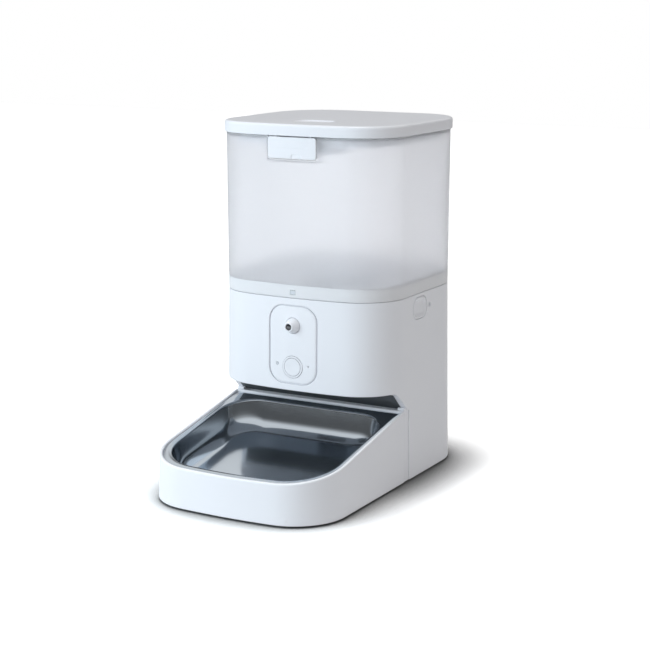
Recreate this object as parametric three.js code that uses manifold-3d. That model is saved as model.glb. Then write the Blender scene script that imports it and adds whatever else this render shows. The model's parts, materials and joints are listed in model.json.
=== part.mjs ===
// Camera pet feeder: lid, frosted food tank, housing with camera and feed drive, tray with steel bowl.
// Millimetres, +Z up, front towards -Y, origin on the floor under the middle of the footprint.
import * as THREE from "three";
import { mergeVertices } from "three/addons/utils/BufferGeometryUtils.js";
import Module from "manifold-3d";

const wasm = await Module();
wasm.setup();

// Clearances that every piece shares
const gap = 0.3;
const overrun = 3;
const groundGap = 1.8;
const roundSegments = 16;
const smallSegments = 8;
const cornerSegments = 3;
const fullTurnDegrees = 360;
const quarterTurnDegrees = fullTurnDegrees / 4;

// Outline of the lid, tank and housing seen from above
const body = {
  halfWidth: 93,
  halfDepth: 92.15,
  frontRadius: 46.5,
  backRadius: 50,
  faceRadius: 470,
  floorFlare: 0.3,
  seamInset: 2.1,
  seamZ: 176.6,
  trayReach: 212.3,
};
const floorHalfWidth = body.halfWidth + body.floorFlare;
const seamHalfWidth = body.halfWidth - body.seamInset;
const floorHalfDepth = body.halfDepth * floorHalfWidth / body.halfWidth;
const bodyCentreY = (body.trayReach - floorHalfDepth) / 2;
const bodyFrontY = bodyCentreY - body.halfDepth;
const bodyBackY = bodyCentreY + body.halfDepth;
const bodyPlan = {
  halfWidth: body.halfWidth,
  frontY: bodyFrontY,
  backY: bodyBackY,
  frontRadius: body.frontRadius,
  backRadius: body.backRadius,
  faceRadius: body.faceRadius,
};

const lid = {
  seamZ: 325,
  height: 10.7,
  bandWall: 2.2,
  topWall: 2.4,
  edgeRise: 2.8,
  edgeShoulder: 0.8,
  edgeInset: 2.6,
  shoulderInset: 0.9,
  overhang: 1.5,
  skirtWall: 2,
  skirtDrop: 9.5,
  skirtLip: 1.6,
  recessLength: 40,
  recessWidth: 26,
  recessDepth: 1.4,
  recessFromFront: 42,
  recessRadius: 12,
};
const lidLowZ = lid.seamZ + gap;
const lidTopZ = lidLowZ + lid.height;

const gasket = { thickness: 1.3, height: 5.6 };

const tank = {
  wall: 2.5,
  rimWidth: 8,
  rimThickness: 2.5,
  footWidth: 4.8,
  footThickness: 2,
  spigotWall: 1.8,
  spigotDrop: 2.7,
  funnelRise: 9.5,
  funnelThickness: 2.5,
  funnelLand: 3,
  outletRadius: 38,
  collarWall: 2.5,
  collarDrop: 8.6,
};
const tankLowZ = body.seamZ + gap;
const tankTopHalfWidth = body.halfWidth - lid.overhang;

const levelWindow = { width: 5, height: 4, depth: 1.2, aboveSeam: 3.2 };

const latch = {
  halfWidth: 25,
  height: 19.3,
  topGap: 1,
  proud: 1.2,
  backInset: 1.4,
  pocketDepth: 5,
  pocketWall: 2.2,
  sideGap: 1,
  pinRadius: 0.7,
  pinGap: 0.3,
  pinInset: 2.6,
  pinBelowSeam: 4.5,
  barrelRadius: 1.7,
  barrelHalfLength: 16,
  earWidth: 2.4,
  earBack: 4.6,
  earDrop: 6.4,
  reliefDepth: 0.8,
  noseHeight: 1.8,
  noseRise: 3.5,
  noseReach: 2.1,
  catchDepth: 1.2,
  catchHeight: 1.6,
  catchHalfWidth: 20,
};

const hook = {
  insideCorner: 9,
  halfWidth: 5,
  thickness: 2.1,
  drop: 8.3,
  noseHeight: 2.8,
  noseReach: 2,
  slotSide: 0.6,
  slotTopGap: 1.7,
  notchSide: 1.5,
};
const hookX = body.halfWidth - body.backRadius - hook.insideCorner;

const desiccant = {
  halfWidth: 32,
  length: 36,
  wall: 1.8,
  lowZ: 308.3,
  lipHeight: 1.6,
  lipWidth: 1.8,
  coverThickness: 1.2,
  slotCount: 6,
  slotWidth: 3,
  slotMargin: 7,
};

const housing = {
  wall: 2.6,
  deckZ: 166,
  deckThickness: 2.5,
  overhangZ: 89.5,
  overhangDepth: 59.2,
  cheekDepth: 35.2,
  cheekLowDepth: 56,
  cheekLowZ: 70,
  finInset: 1.2,
  finThickness: 9,
};
const columnY = bodyFrontY + housing.overhangDepth;

const panel = {
  width: 51,
  height: 74.5,
  radius: 15.5,
  lowZ: 95.5,
  groove: 0.8,
  thickness: 1.6,
  recess: 1.9,
  padMargin: 5,
  padDepth: 4.4,
};
const panelMidZ = panel.lowZ + panel.height / 2;

const camera = {
  z: 151,
  bezelRadius: 7.3,
  bezelDepth: 6,
  proud: 8,
  tipRadius: 4.2,
  lensRadius: 2.8,
  lensInset: 0.5,
  lensThickness: 1.2,
  blockSize: 16,
};

const feed = {
  z: 112,
  ringRadius: 10.4,
  ringWall: 1.7,
  ringProud: 0.4,
  buttonRadius: 8.4,
  buttonProud: 0.6,
  buttonDepth: 3,
  dishDepth: 0.5,
  stemRadius: 2,
  travel: 1,
  switchSize: 7,
  switchDepth: 4.3,
  switchBore: 2,
};

const indicator = { offsetX: 16.5, z: 114, lightRadius: 1.3, micHoleRadius: 0.8, micRadius: 3, micDepth: 5 };

const board = {
  halfWidth: 33,
  lowZ: 107,
  highZ: 164,
  thickness: 1.6,
  depthShare: 0.175,
  postRadius: 3,
  postInset: 4,
};

const boardDepth = body.halfDepth * board.depthShare;

const release = {
  length: 29,
  height: 20.6,
  beforeCentre: 9.4,
  z: 163,
  cornerRadius: 9,
  capThickness: 3.2,
  dishDepth: 0.9,
  dishInset: 2.6,
  stemInset: 4,
  stemLength: 7,
  armThickness: 2.3,
  armHalfWidth: 5,
  noseReach: 1.7,
  noseHeight: 1.5,
  travel: 3,
  ledgeReach: 1.7,
  ledgeHeight: 1.5,
  ledgeHalfWidth: 6,
};

const releaseY = bodyCentreY - release.beforeCentre;

const spring = {
  radius: 4.2,
  wireRadius: 0.5,
  turns: 5,
  stepsPerTurn: 8,
  sides: 4,
  length: 15,
  seatWall: 1.6,
  seatLength: 11,
};

const cup = {
  radius: 42.5,
  wall: 2.5,
  floorZ: 133,
  floorThickness: 2.6,
  flangeReach: 4,
  flangeThickness: 2.2,
  holeHalfWidth: 15,
  holeInner: 18.5,
  holeOuter: 39.5,
  baffleHalfAngle: 32,
  baffleThickness: 1.8,
  baffleInner: 10.5,
  shaftGap: 0.4,
};
const rotorY = bodyCentreY;
const cupFloorTopZ = cup.floorZ + cup.floorThickness;
const collarLowZ = tankLowZ - tank.collarDrop;
const baffleLowZ = collarLowZ - gap - cup.baffleThickness;

const rotor = {
  hubRadius: 9,
  vaneGap: 1.2,
  vaneThickness: 2.4,
  vanes: 6,
  shaftRadius: 4,
  shaftBelow: 23,
  shaftTopGap: 8,
  agitatorHubRadius: 7,
  agitatorRise: 16,
  fingerRadius: 2.2,
  fingerReach: 28,
  fingerRise: 9,
};

const gears = {
  module: 1.5,
  driveTeeth: 20,
  pinionTeeth: 12,
  width: 8,
  belowCup: 7,
  addendumShare: 0.85,
  dedendumShare: 1.15,
  rootToothShare: 0.29,
  pitchToothShare: 0.21,
  tipToothShare: 0.11,
};
const drivePitchRadius = gears.module * gears.driveTeeth / 2;
const pinionPitchRadius = gears.module * gears.pinionTeeth / 2;
const motorY = rotorY + drivePitchRadius + pinionPitchRadius;
const gearHighZ = cup.floorZ - gears.belowCup;
const gearLowZ = gearHighZ - gears.width;

const gearPlate = {
  thickness: 2.5,
  belowGears: 3.5,
  halfWidth: 32,
  frontReach: 17,
  backReach: 48,
  postRadius: 4,
  postX: 28,
  frontPostReach: 12,
  backPostReach: 26,
};
const gearPlateHighZ = gearLowZ - gearPlate.belowGears;
const gearPlateLowZ = gearPlateHighZ - gearPlate.thickness;

const motor = {
  gearboxRadius: 17.5,
  gearboxHeight: 20,
  canRadius: 12,
  canHeight: 30,
  shaftRadius: 3,
  boreDepth: 7,
  screwX: 13.5,
  screwRadius: 1.4,
  screwHeadRadius: 2.8,
  screwHeadHeight: 1.7,
  screwLength: 9,
};

const chute = { wall: 2, fromFront: 8.2, outletLength: 23, outletHalfWidth: 16, flange: 3 };
const outletFrontY = bodyFrontY + chute.fromFront;
const outletBackY = outletFrontY + chute.outletLength;

const speaker = {
  z: 115,
  radius: 18,
  depth: 9,
  magnetRadius: 9,
  magnetDepth: 6,
  slots: 5,
  slotLength: 24,
  slotWidth: 2,
};

const inlet = { x: 30, z: 30, width: 14, height: 11, depth: 14, boreRadius: 3.2, boreDepth: 9, pinRadius: 1 };

const plate = { lowZ: 2.4, thickness: 5.5 };
const plateHighZ = plate.lowZ + plate.thickness;

const bay = { sideInset: 40, behindColumn: 33, backInset: 26.1, wall: 2, topZ: 43 };
const bayHalfWidth = body.halfWidth - bay.sideInset;
const bayFrontY = columnY + bay.behindColumn;
const bayBackY = bodyBackY - bay.backInset;

const door = {
  tongue: 3,
  lowerThickness: 1.6,
  upperThickness: 1.4,
  frontMargin: 6,
  gripWidth: 24,
  gripDepth: 5,
  gripHeight: 1,
};

const screw = {
  wallOffset: 6.6,
  frontBehindColumn: 18,
  backInset: 54.1,
  shankRadius: 1.4,
  headRadius: 2.6,
  headHeight: 1.8,
  length: 15,
};
const boss = { radius: 5, height: 19 };

const foot = {
  radius: 8,
  pocketDepth: 1.3,
  frontSideInset: 21,
  backSideInset: 25,
  frontBehindColumn: 19,
  backInset: 30.1,
};

const tray = {
  beforeColumn: 8.7,
  topInset: 1.1,
  frontRadius: 50,
  rearRadius: 3,
  faceRadius: 580,
  frontHeight: 38,
  rearHeight: 70.6,
  wall: 2.4,
  rimWidth: 3,
  pocketDrop: 3,
  ledge: 2.4,
  tongueX: 45,
  tongueHalfWidth: 10,
  tongueLowZ: 8.5,
  tongueHeight: 3.5,
  tongueLength: 14,
  tongueGap: 0.5,
};
const trayHalfWidth = floorHalfWidth;
const trayFrontY = bodyCentreY - body.trayReach;
const trayRearY = columnY - tray.beforeColumn;
const trayFoot = {
  radius: 7,
  bossRadius: 9,
  bossHeight: 6.2,
  bossInset: 10.6,
  frontAngle: 70,
  rearInset: 20.3,
};
const trayFootRearY = trayRearY - trayFoot.rearInset;

const bowl = {
  thickness: 1,
  flangeGap: 0.4,
  sideInset: 8.8,
  frontInset: 12.4,
  rearInset: 15.3,
  frontRadius: 44,
  rearRadius: 30,
  faceRadius: 560,
  depth: 27,
  holeGap: 1,
};
// Depth shares and size shares of the bowl's basin, from the flange down to its floor
const basinShares = [[0, 1], [0.6, 0.955], [0.85, 0.9], [1, 0.8]];

// Turns a closed geometry into a solid that can be joined and cut
function toSolid(geometry) {
  const bare = geometry.clone();
  bare.deleteAttribute("normal");
  bare.deleteAttribute("uv");
  const merged = mergeVertices(bare);
  const mesh = new wasm.Mesh({
    numProp: 3,
    vertProperties: Float32Array.from(merged.attributes.position.array),
    triVerts: Uint32Array.from(merged.index.array),
  });
  return new wasm.Manifold(mesh);
}

function toGeometry(solid) {
  const mesh = solid.getMesh();
  const geometry = new THREE.BufferGeometry();
  geometry.setAttribute("position", new THREE.BufferAttribute(Float32Array.from(mesh.vertProperties), 3));
  geometry.setIndex(new THREE.BufferAttribute(Uint32Array.from(mesh.triVerts), 1));
  geometry.computeVertexNormals();
  return geometry;
}

function joinAll(solids) {
  return solids.reduce((whole, solid) => whole.add(solid));
}

// Outline with a slightly bowed front, two front corners and two back corners, moved inwards by inset
function planShape(plan, inset = 0) {
  const halfWidth = plan.halfWidth - inset;
  const frontY = plan.frontY + inset;
  const backY = plan.backY - inset;
  const frontRadius = Math.max(plan.frontRadius - inset, gap);
  const backRadius = Math.max(plan.backRadius - inset, gap);
  const faceRadius = plan.faceRadius - inset;
  const side = halfWidth - frontRadius;
  const reach = faceRadius - frontRadius;
  const faceY = frontY + faceRadius;
  const cornerY = faceY - Math.sqrt(reach * reach - side * side);
  const lean = Math.asin(side / reach);
  const quarter = Math.PI / 2;
  const shape = new THREE.Shape();
  shape.absarc(0, faceY, faceRadius, -quarter - lean, -quarter + lean);
  shape.absarc(side, cornerY, frontRadius, -quarter + lean, 0);
  shape.absarc(halfWidth - backRadius, backY - backRadius, backRadius, 0, quarter);
  shape.absarc(backRadius - halfWidth, backY - backRadius, backRadius, quarter, Math.PI);
  shape.absarc(-side, cornerY, frontRadius, Math.PI, 3 * quarter - lean);
  return shape;
}

// Solid through stations of height and size share, each share scaling the shape about x = 0, y = pivotY
function drafted(shape, stations, pivotY) {
  const steps = stations.length - 1;
  const settings = { depth: steps, steps, bevelEnabled: false, curveSegments: cornerSegments };
  const geometry = new THREE.ExtrudeGeometry(shape, settings);
  const position = geometry.attributes.position;
  for (let i = 0; i < position.count; i += 1) {
    const [z, share] = stations[Math.round(position.getZ(i))];
    position.setXYZ(i, position.getX(i) * share, pivotY + (position.getY(i) - pivotY) * share, z);
  }
  return toSolid(geometry);
}

function prism(shape, lowZ, highZ) {
  return drafted(shape, [[lowZ, 1], [highZ, 1]], 0);
}

function block(low, high) {
  const size = high.map((value, axis) => value - low[axis]);
  const centre = high.map((value, axis) => (value + low[axis]) / 2);
  return toSolid(new THREE.BoxGeometry(...size).translate(...centre));
}

// Two blocks at the same distance on either side of the middle
function sidePair(innerX, outerX, lowY, highY, lowZ, highZ) {
  return block([-outerX, lowY, lowZ], [-innerX, highY, highZ])
    .add(block([innerX, lowY, lowZ], [outerX, highY, highZ]));
}

// Round rod along x, y or z between two places on that axis
function rod(axis, radius, centre, from, to, segments = roundSegments) {
  const geometry = new THREE.CylinderGeometry(radius, radius, to - from, segments);
  const middle = (from + to) / 2;
  if (axis === "x") geometry.rotateZ(-Math.PI / 2).translate(middle, centre[0], centre[1]);
  if (axis === "y") geometry.translate(centre[0], middle, centre[1]);
  if (axis === "z") geometry.rotateX(Math.PI / 2).translate(centre[0], centre[1], middle);
  return toSolid(geometry);
}

// Round part whose profile of [radius, height] points stands on z = 0
function turned(profile, segments = roundSegments) {
  const points = profile.map(([radius, height]) => new THREE.Vector2(radius, height));
  return new THREE.LatheGeometry(points, segments).rotateX(Math.PI / 2);
}

// Side view outline of [y, z] points, drawn across the width
function across(points, halfWidth) {
  const shape = new THREE.Shape(points.map(([y, z]) => new THREE.Vector2(y, z)));
  const geometry = new THREE.ExtrudeGeometry(shape, { depth: 2 * halfWidth, bevelEnabled: false });
  const turn = new THREE.Matrix4().set(0, 0, 1, -halfWidth, 1, 0, 0, 0, 0, 1, 0, 0, 0, 0, 0, 1);
  return toSolid(geometry.applyMatrix4(turn));
}

// Front view outline in x and z, drawn along y
function along(shape, fromY, toY) {
  const settings = { depth: toY - fromY, bevelEnabled: false, curveSegments: cornerSegments };
  const geometry = new THREE.ExtrudeGeometry(shape, settings);
  const turn = new THREE.Matrix4().set(1, 0, 0, 0, 0, 0, -1, toY, 0, 1, 0, 0, 0, 0, 0, 1);
  return toSolid(geometry.applyMatrix4(turn));
}

// Outline in y and z drawn along x between two places
function sideways(shape, fromX, toX) {
  const settings = { depth: toX - fromX, bevelEnabled: false, curveSegments: cornerSegments };
  const geometry = new THREE.ExtrudeGeometry(shape, settings);
  const turn = new THREE.Matrix4().set(0, 0, 1, fromX, 1, 0, 0, 0, 0, 1, 0, 0, 0, 0, 0, 1);
  return toSolid(geometry.applyMatrix4(turn));
}

function roundedRectangle(width, height, radius, centreX, centreY) {
  const left = centreX - width / 2 + radius;
  const right = centreX + width / 2 - radius;
  const low = centreY - height / 2 + radius;
  const high = centreY + height / 2 - radius;
  const quarter = Math.PI / 2;
  const shape = new THREE.Shape();
  shape.absarc(right, low, radius, -quarter, 0);
  shape.absarc(right, high, radius, 0, quarter);
  shape.absarc(left, high, radius, quarter, Math.PI);
  shape.absarc(left, low, radius, Math.PI, 3 * quarter);
  return shape;
}

// How far the bowed front falls back at a place beside its middle
function bowAt(x) {
  return x * x / (2 * body.faceRadius);
}

const root = new THREE.Group();

function material(color, roughness, metalness = 0, opacity = 1) {
  return new THREE.MeshStandardMaterial({ color, roughness, metalness, opacity, transparent: opacity < 1 });
}

const finishes = {
  white: () => material(0xeef1f5, 0.35),
  frosted: () => material(0xe3e9ee, 0.5, 0, 0.5),
  silicone: () => material(0xd8dcdf, 0.7),
  steel: () => material(0xb9bdc2, 0.18, 1),
  zinc: () => material(0x9a9da1, 0.35, 1),
  brass: () => material(0xb8964f, 0.35, 1),
  darkGlass: () => material(0x0b0d12, 0.08),
  darkPlastic: () => material(0x1b1d20, 0.45),
  greyPlastic: () => material(0x9aa0a6, 0.5),
  rubber: () => material(0x3a3c3f, 0.85),
  greenBoard: () => material(0x1f5a3a, 0.5),
  lightPipe: () => material(0xc9cfd6, 0.3),
};

function addGroup(name) {
  const group = new THREE.Group();
  group.name = name;
  root.add(group);
  return group;
}

function addPiece(parent, name, shape, finish, place = [0, 0, 0]) {
  const geometry = shape.isBufferGeometry ? shape : toGeometry(shape);
  const mesh = new THREE.Mesh(geometry, finishes[finish]());
  mesh.name = name;
  mesh.position.set(...place);
  parent.add(mesh);
  return mesh;
}

// Half width of the housing at a height, and the housing's drafted block between two heights
function housingHalfWidth(z) {
  const share = (z - groundGap) / (body.seamZ - groundGap);
  return floorHalfWidth + (seamHalfWidth - floorHalfWidth) * share;
}

function housingBlock(inset, lowZ, highZ) {
  const stations = [lowZ, highZ].map((z) => [z, housingHalfWidth(z) / body.halfWidth]);
  return drafted(planShape(bodyPlan, inset), stations, bodyCentreY);
}

function housingFrontY(z) {
  return bodyCentreY - body.halfDepth * housingHalfWidth(z) / body.halfWidth;
}

function housingBackY(z) {
  return bodyCentreY + body.halfDepth * housingHalfWidth(z) / body.halfWidth;
}

// The same for the tank, which widens a little towards the lid
function tankHalfWidth(z) {
  const share = (z - tankLowZ) / (lid.seamZ - tankLowZ);
  return seamHalfWidth + (tankTopHalfWidth - seamHalfWidth) * share;
}

function tankBlock(inset, lowZ, highZ) {
  const stations = [lowZ, highZ].map((z) => [z, tankHalfWidth(z) / body.halfWidth]);
  return drafted(planShape(bodyPlan, inset), stations, bodyCentreY);
}

function tankFrontY(z) {
  return bodyCentreY - body.halfDepth * tankHalfWidth(z) / body.halfWidth;
}

const tankTopFrontY = tankFrontY(lid.seamZ);
const latchPinY = tankTopFrontY + latch.pinInset;
const latchPinZ = lid.seamZ - latch.pinBelowSeam;
const latchHighZ = lidLowZ - latch.topGap;
const latchLowZ = latchHighZ - latch.height;
const latchNoseLowZ = latchLowZ + latch.noseRise;
const hookNoseHighZ = lidLowZ - hook.drop + hook.noseHeight + gap;
const tankInnerInset = tank.wall + tank.rimWidth;
const gasketOuterInset = lid.overhang + tankInnerInset + gap;
const skirtOuterInset = gasketOuterInset + gasket.thickness + gap;
const skirtInnerInset = skirtOuterInset + lid.skirtWall;
const tankBackY = bodyBackY - lid.overhang;

// Food tank
function tankShell() {
  const wall = tankBlock(0, tankLowZ, lid.seamZ)
    .subtract(tankBlock(tank.wall, tankLowZ - overrun, lid.seamZ + overrun));
  const rimLowZ = lid.seamZ - tank.rimThickness;
  const rim = tankBlock(tank.wall / 2, rimLowZ, lid.seamZ)
    .subtract(tankBlock(tankInnerInset, rimLowZ - overrun, lid.seamZ + overrun));
  const footRing = tankBlock(tank.wall / 2, tankLowZ, tankLowZ + tank.footThickness)
    .subtract(tankBlock(tank.footWidth, tankLowZ - overrun, tankLowZ + tank.footThickness + overrun));
  const spigot = tankBlock(tank.footWidth - tank.spigotWall, tankLowZ - tank.spigotDrop, tankLowZ + gap)
    .subtract(tankBlock(tank.footWidth, tankLowZ - tank.spigotDrop - overrun, tankLowZ + overrun));
  return joinAll([wall, rim, footRing, spigot]);
}

function tankFunnel() {
  const landShare = (tank.outletRadius + tank.funnelLand) / body.halfWidth;
  const edgeShare = seamHalfWidth / body.halfWidth;
  const highZ = tankLowZ + tank.funnelRise;
  const stations = [[tankLowZ, landShare], [highZ, edgeShare], [highZ + tank.funnelThickness, edgeShare]];
  const under = drafted(planShape(bodyPlan, tank.wall / 2), stations, bodyCentreY);
  const floor = under.subtract(under.translate([0, 0, tank.funnelThickness]));
  const collarHighZ = tankLowZ + tank.funnelThickness / 2;
  const collar = rod("z", tank.outletRadius + tank.collarWall, [0, rotorY], collarLowZ, collarHighZ);
  const outletHighZ = tankLowZ + tank.funnelRise;
  const outlet = rod("z", tank.outletRadius, [0, rotorY], collarLowZ - overrun, outletHighZ);
  return floor.add(collar).subtract(outlet);
}

function latchPocketParts() {
  const padInset = latch.pocketDepth + latch.pocketWall;
  const halfWidth = latch.halfWidth + latch.sideGap;
  const lowZ = latchLowZ - latch.sideGap;
  const pad = block(
    [-halfWidth - latch.pocketWall, tankTopFrontY + tank.wall / 2, lowZ - latch.pocketWall],
    [halfWidth + latch.pocketWall, tankTopFrontY + padInset, lid.seamZ],
  );
  const pocket = block(
    [-halfWidth, tankTopFrontY - overrun, lowZ],
    [halfWidth, tankTopFrontY + latch.pocketDepth, lid.seamZ + overrun],
  );
  const catchLowZ = latchNoseLowZ + latch.noseHeight + gap;
  const catchRib = block(
    [-latch.catchHalfWidth, tankTopFrontY + latch.pocketDepth - latch.catchDepth, catchLowZ],
    [latch.catchHalfWidth, tankTopFrontY + latch.pocketDepth + gap, catchLowZ + latch.catchHeight],
  );
  return { pad, pocket, catchRib };
}

function hookSlots() {
  const cuts = [];
  for (const side of [-1, 1]) {
    const x = side * hookX;
    const slotHalf = hook.halfWidth + hook.slotSide;
    const notchHalf = hook.halfWidth + hook.notchSide;
    const slotLowZ = lidLowZ - hook.drop - gap;
    cuts.push(block(
      [x - slotHalf, tankBackY - tank.wall - gap, slotLowZ],
      [x + slotHalf, tankBackY + overrun, hookNoseHighZ + hook.slotTopGap],
    ));
    cuts.push(block(
      [x - notchHalf, tankBackY - tankInnerInset - overrun, lid.seamZ - tank.rimThickness - gap],
      [x + notchHalf, tankBackY - tank.wall, lid.seamZ + overrun],
    ));
  }
  return joinAll(cuts);
}

// Inside faces of the housing's straight sides near the tank seam, and the catches beside them
const spigotInnerX = seamHalfWidth - tank.footWidth;
const catchX = spigotInnerX - release.ledgeReach;
const ledgeLowZ = tankLowZ - tank.spigotDrop;

function tankCatches() {
  const lowY = releaseY - release.ledgeHalfWidth;
  const highY = releaseY + release.ledgeHalfWidth;
  return sidePair(catchX, spigotInnerX + gap, lowY, highY, ledgeLowZ, ledgeLowZ + release.ledgeHeight);
}

function levelWindowBlock(grow) {
  const lowZ = tankLowZ + levelWindow.aboveSeam;
  const frontY = tankFrontY(lowZ);
  return block(
    [-levelWindow.width / 2 - grow, frontY + grow - overrun, lowZ - grow],
    [levelWindow.width / 2 + grow, frontY + levelWindow.depth + grow, lowZ + levelWindow.height + grow],
  );
}

function buildTank() {
  const group = addGroup("tank_assembly");
  const { pad, pocket, catchRib } = latchPocketParts();
  const solid = joinAll([tankShell(), tankFunnel(), pad, tankCatches()])
    .subtract(pocket)
    .add(catchRib)
    .subtract(hookSlots())
    .subtract(levelWindowBlock(gap));
  addPiece(group, "food_tank", solid, "frosted");
  const windowPlate = levelWindowBlock(0)
    .intersect(tankBlock(0, tankLowZ, tankLowZ + levelWindow.aboveSeam + levelWindow.height + overrun));
  addPiece(group, "tank_level_window", windowPlate, "darkPlastic");
}

// Lid with its skirt, latch ears and rear hooks
function lidCover() {
  const shoulderZ = lidTopZ - lid.edgeShoulder;
  const shoulderShare = (body.halfWidth - lid.shoulderInset) / body.halfWidth;
  const edgeShare = (body.halfWidth - lid.edgeInset) / body.halfWidth;
  const edgeLowZ = lidTopZ - lid.edgeRise;
  const stations = [[lidLowZ, 1], [edgeLowZ, 1], [shoulderZ, shoulderShare], [lidTopZ, edgeShare]];
  const outer = drafted(planShape(bodyPlan), stations, bodyCentreY);
  const innerHighZ = lidTopZ - lid.topWall;
  const inner = prism(planShape(bodyPlan, lid.bandWall), lidLowZ - overrun, innerHighZ);
  const recessY = bodyFrontY + lid.recessFromFront;
  const recessShape = roundedRectangle(lid.recessLength, lid.recessWidth, lid.recessRadius, 0, recessY);
  const recess = prism(recessShape, lidTopZ - lid.recessDepth, lidTopZ + overrun);
  return outer.subtract(inner).subtract(recess);
}

function lidSkirt() {
  const lowZ = lidLowZ - lid.skirtDrop;
  const highZ = lidTopZ - lid.topWall + gap;
  const wall = prism(planShape(bodyPlan, skirtOuterInset), lowZ, highZ)
    .subtract(prism(planShape(bodyPlan, skirtInnerInset), lowZ - overrun, highZ + overrun));
  const lip = prism(planShape(bodyPlan, gasketOuterInset + gap), lowZ, lowZ + lid.skirtLip)
    .subtract(prism(planShape(bodyPlan, skirtInnerInset), lowZ - overrun, lowZ + lid.skirtLip + overrun));
  return wall.add(lip);
}

const earInnerX = latch.barrelHalfLength + 2 * gap;
const earOuterX = earInnerX + latch.earWidth;

function latchPinHole() {
  const radius = latch.pinRadius + latch.pinGap;
  return rod("x", radius, [latchPinY, latchPinZ], -body.halfWidth, body.halfWidth);
}

function latchEars() {
  const frontY = tankTopFrontY + latch.backInset + bowAt(earOuterX) + gap;
  const backY = tankTopFrontY + latch.earBack;
  const lowZ = lidLowZ - latch.earDrop;
  const highZ = lidTopZ - lid.topWall + gap;
  return sidePair(earInnerX, earOuterX, frontY, backY, lowZ, highZ).subtract(latchPinHole());
}

function rearHooks() {
  const wallInnerY = tankBackY - tank.wall;
  const plateY = wallInnerY - gap;
  const lowZ = lidLowZ - hook.drop;
  return joinAll([-1, 1].map((side) => {
    const x = side * hookX;
    const arm = block(
      [x - hook.halfWidth, plateY - hook.thickness, lowZ],
      [x + hook.halfWidth, plateY, lidTopZ - lid.topWall + gap],
    );
    const nose = block(
      [x - hook.halfWidth, plateY - gap, lowZ + gap],
      [x + hook.halfWidth, plateY + hook.noseReach, lowZ + gap + hook.noseHeight],
    );
    return arm.add(nose);
  }));
}

function lidLatch() {
  const plateBand = tankBlock(-latch.proud, latchLowZ, latchHighZ)
    .subtract(tankBlock(latch.backInset, latchLowZ - overrun, latchHighZ + overrun));
  const window = block(
    [-latch.halfWidth, tankTopFrontY - overrun, latchLowZ - overrun],
    [latch.halfWidth, tankTopFrontY + overrun, latchHighZ + overrun],
  );
  const barrelHalf = latch.barrelHalfLength;
  const barrel = rod("x", latch.barrelRadius, [latchPinY, latchPinZ], -barrelHalf, barrelHalf);
  const backY = tankTopFrontY + latch.backInset;
  const nose = block(
    [-latch.catchHalfWidth, backY - gap, latchNoseLowZ],
    [latch.catchHalfWidth, backY + latch.noseReach, latchNoseLowZ + latch.noseHeight],
  );
  const reliefY = backY - latch.reliefDepth;
  const reliefLowZ = latchPinZ + latch.pinRadius + latch.pinGap;
  const relief = sidePair(
    earInnerX - gap,
    earOuterX + gap,
    reliefY,
    backY + overrun,
    reliefLowZ,
    latchHighZ + overrun,
  );
  return plateBand.intersect(window).subtract(relief).add(barrel).add(nose).subtract(latchPinHole());
}

function desiccantPieces(group) {
  const frontY = bodyFrontY + skirtInnerInset + bowAt(desiccant.halfWidth) + gap;
  const backY = frontY + desiccant.length;
  const highZ = lidTopZ - lid.topWall - gap;
  const coverLowZ = desiccant.lowZ + desiccant.lipHeight + gap;
  const coverHighZ = coverLowZ + desiccant.coverThickness;
  const innerX = desiccant.halfWidth - desiccant.wall;
  const outer = block([-desiccant.halfWidth, frontY, desiccant.lowZ], [desiccant.halfWidth, backY, highZ]);
  const cavity = block(
    [-innerX, frontY + desiccant.wall, desiccant.lowZ + desiccant.lipHeight],
    [innerX, backY - desiccant.wall, highZ - desiccant.wall],
  );
  const mouthX = innerX - desiccant.lipWidth;
  const mouth = block(
    [-mouthX, frontY + desiccant.wall, desiccant.lowZ - overrun],
    [mouthX, backY + overrun, coverLowZ],
  );
  const grooveHighZ = coverHighZ + gap;
  const groove = block(
    [-innerX, backY - desiccant.wall - overrun, desiccant.lowZ + desiccant.lipHeight],
    [innerX, backY + overrun, grooveHighZ],
  );
  addPiece(group, "desiccant_box", outer.subtract(cavity).subtract(mouth).subtract(groove), "white");
  const coverX = innerX - gap;
  let cover = block([-coverX, frontY + desiccant.wall + gap, coverLowZ], [coverX, backY, coverHighZ]);
  const pitch = 2 * (coverX - desiccant.slotMargin) / (desiccant.slotCount - 1);
  for (let i = 0; i < desiccant.slotCount; i += 1) {
    const x = desiccant.slotMargin - coverX + i * pitch;
    cover = cover.subtract(block(
      [x - desiccant.slotWidth / 2, frontY + desiccant.slotMargin, coverLowZ - overrun],
      [x + desiccant.slotWidth / 2, backY - desiccant.slotMargin, coverHighZ + overrun],
    ));
  }
  addPiece(group, "desiccant_cover", cover, "white");
}

function buildLid() {
  const group = addGroup("lid_assembly");
  addPiece(group, "lid_shell", joinAll([lidCover(), lidSkirt(), latchEars(), rearHooks()]), "white");
  const gasketLowZ = lidLowZ - lid.skirtDrop + lid.skirtLip + gap;
  const ring = prism(planShape(bodyPlan, gasketOuterInset), gasketLowZ, gasketLowZ + gasket.height)
    .subtract(prism(
      planShape(bodyPlan, gasketOuterInset + gasket.thickness),
      gasketLowZ - overrun,
      gasketLowZ + gasket.height + overrun,
    ));
  addPiece(group, "lid_gasket", ring, "silicone");
  addPiece(group, "lid_latch", lidLatch(), "white");
  const pinHalf = latch.barrelHalfLength + gap + latch.earWidth;
  const pin = rod("x", latch.pinRadius, [0, 0], -pinHalf, pinHalf, smallSegments);
  addPiece(group, "latch_pin", pin, "steel", [0, latchPinY, latchPinZ]);
  desiccantPieces(group);
}

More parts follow.
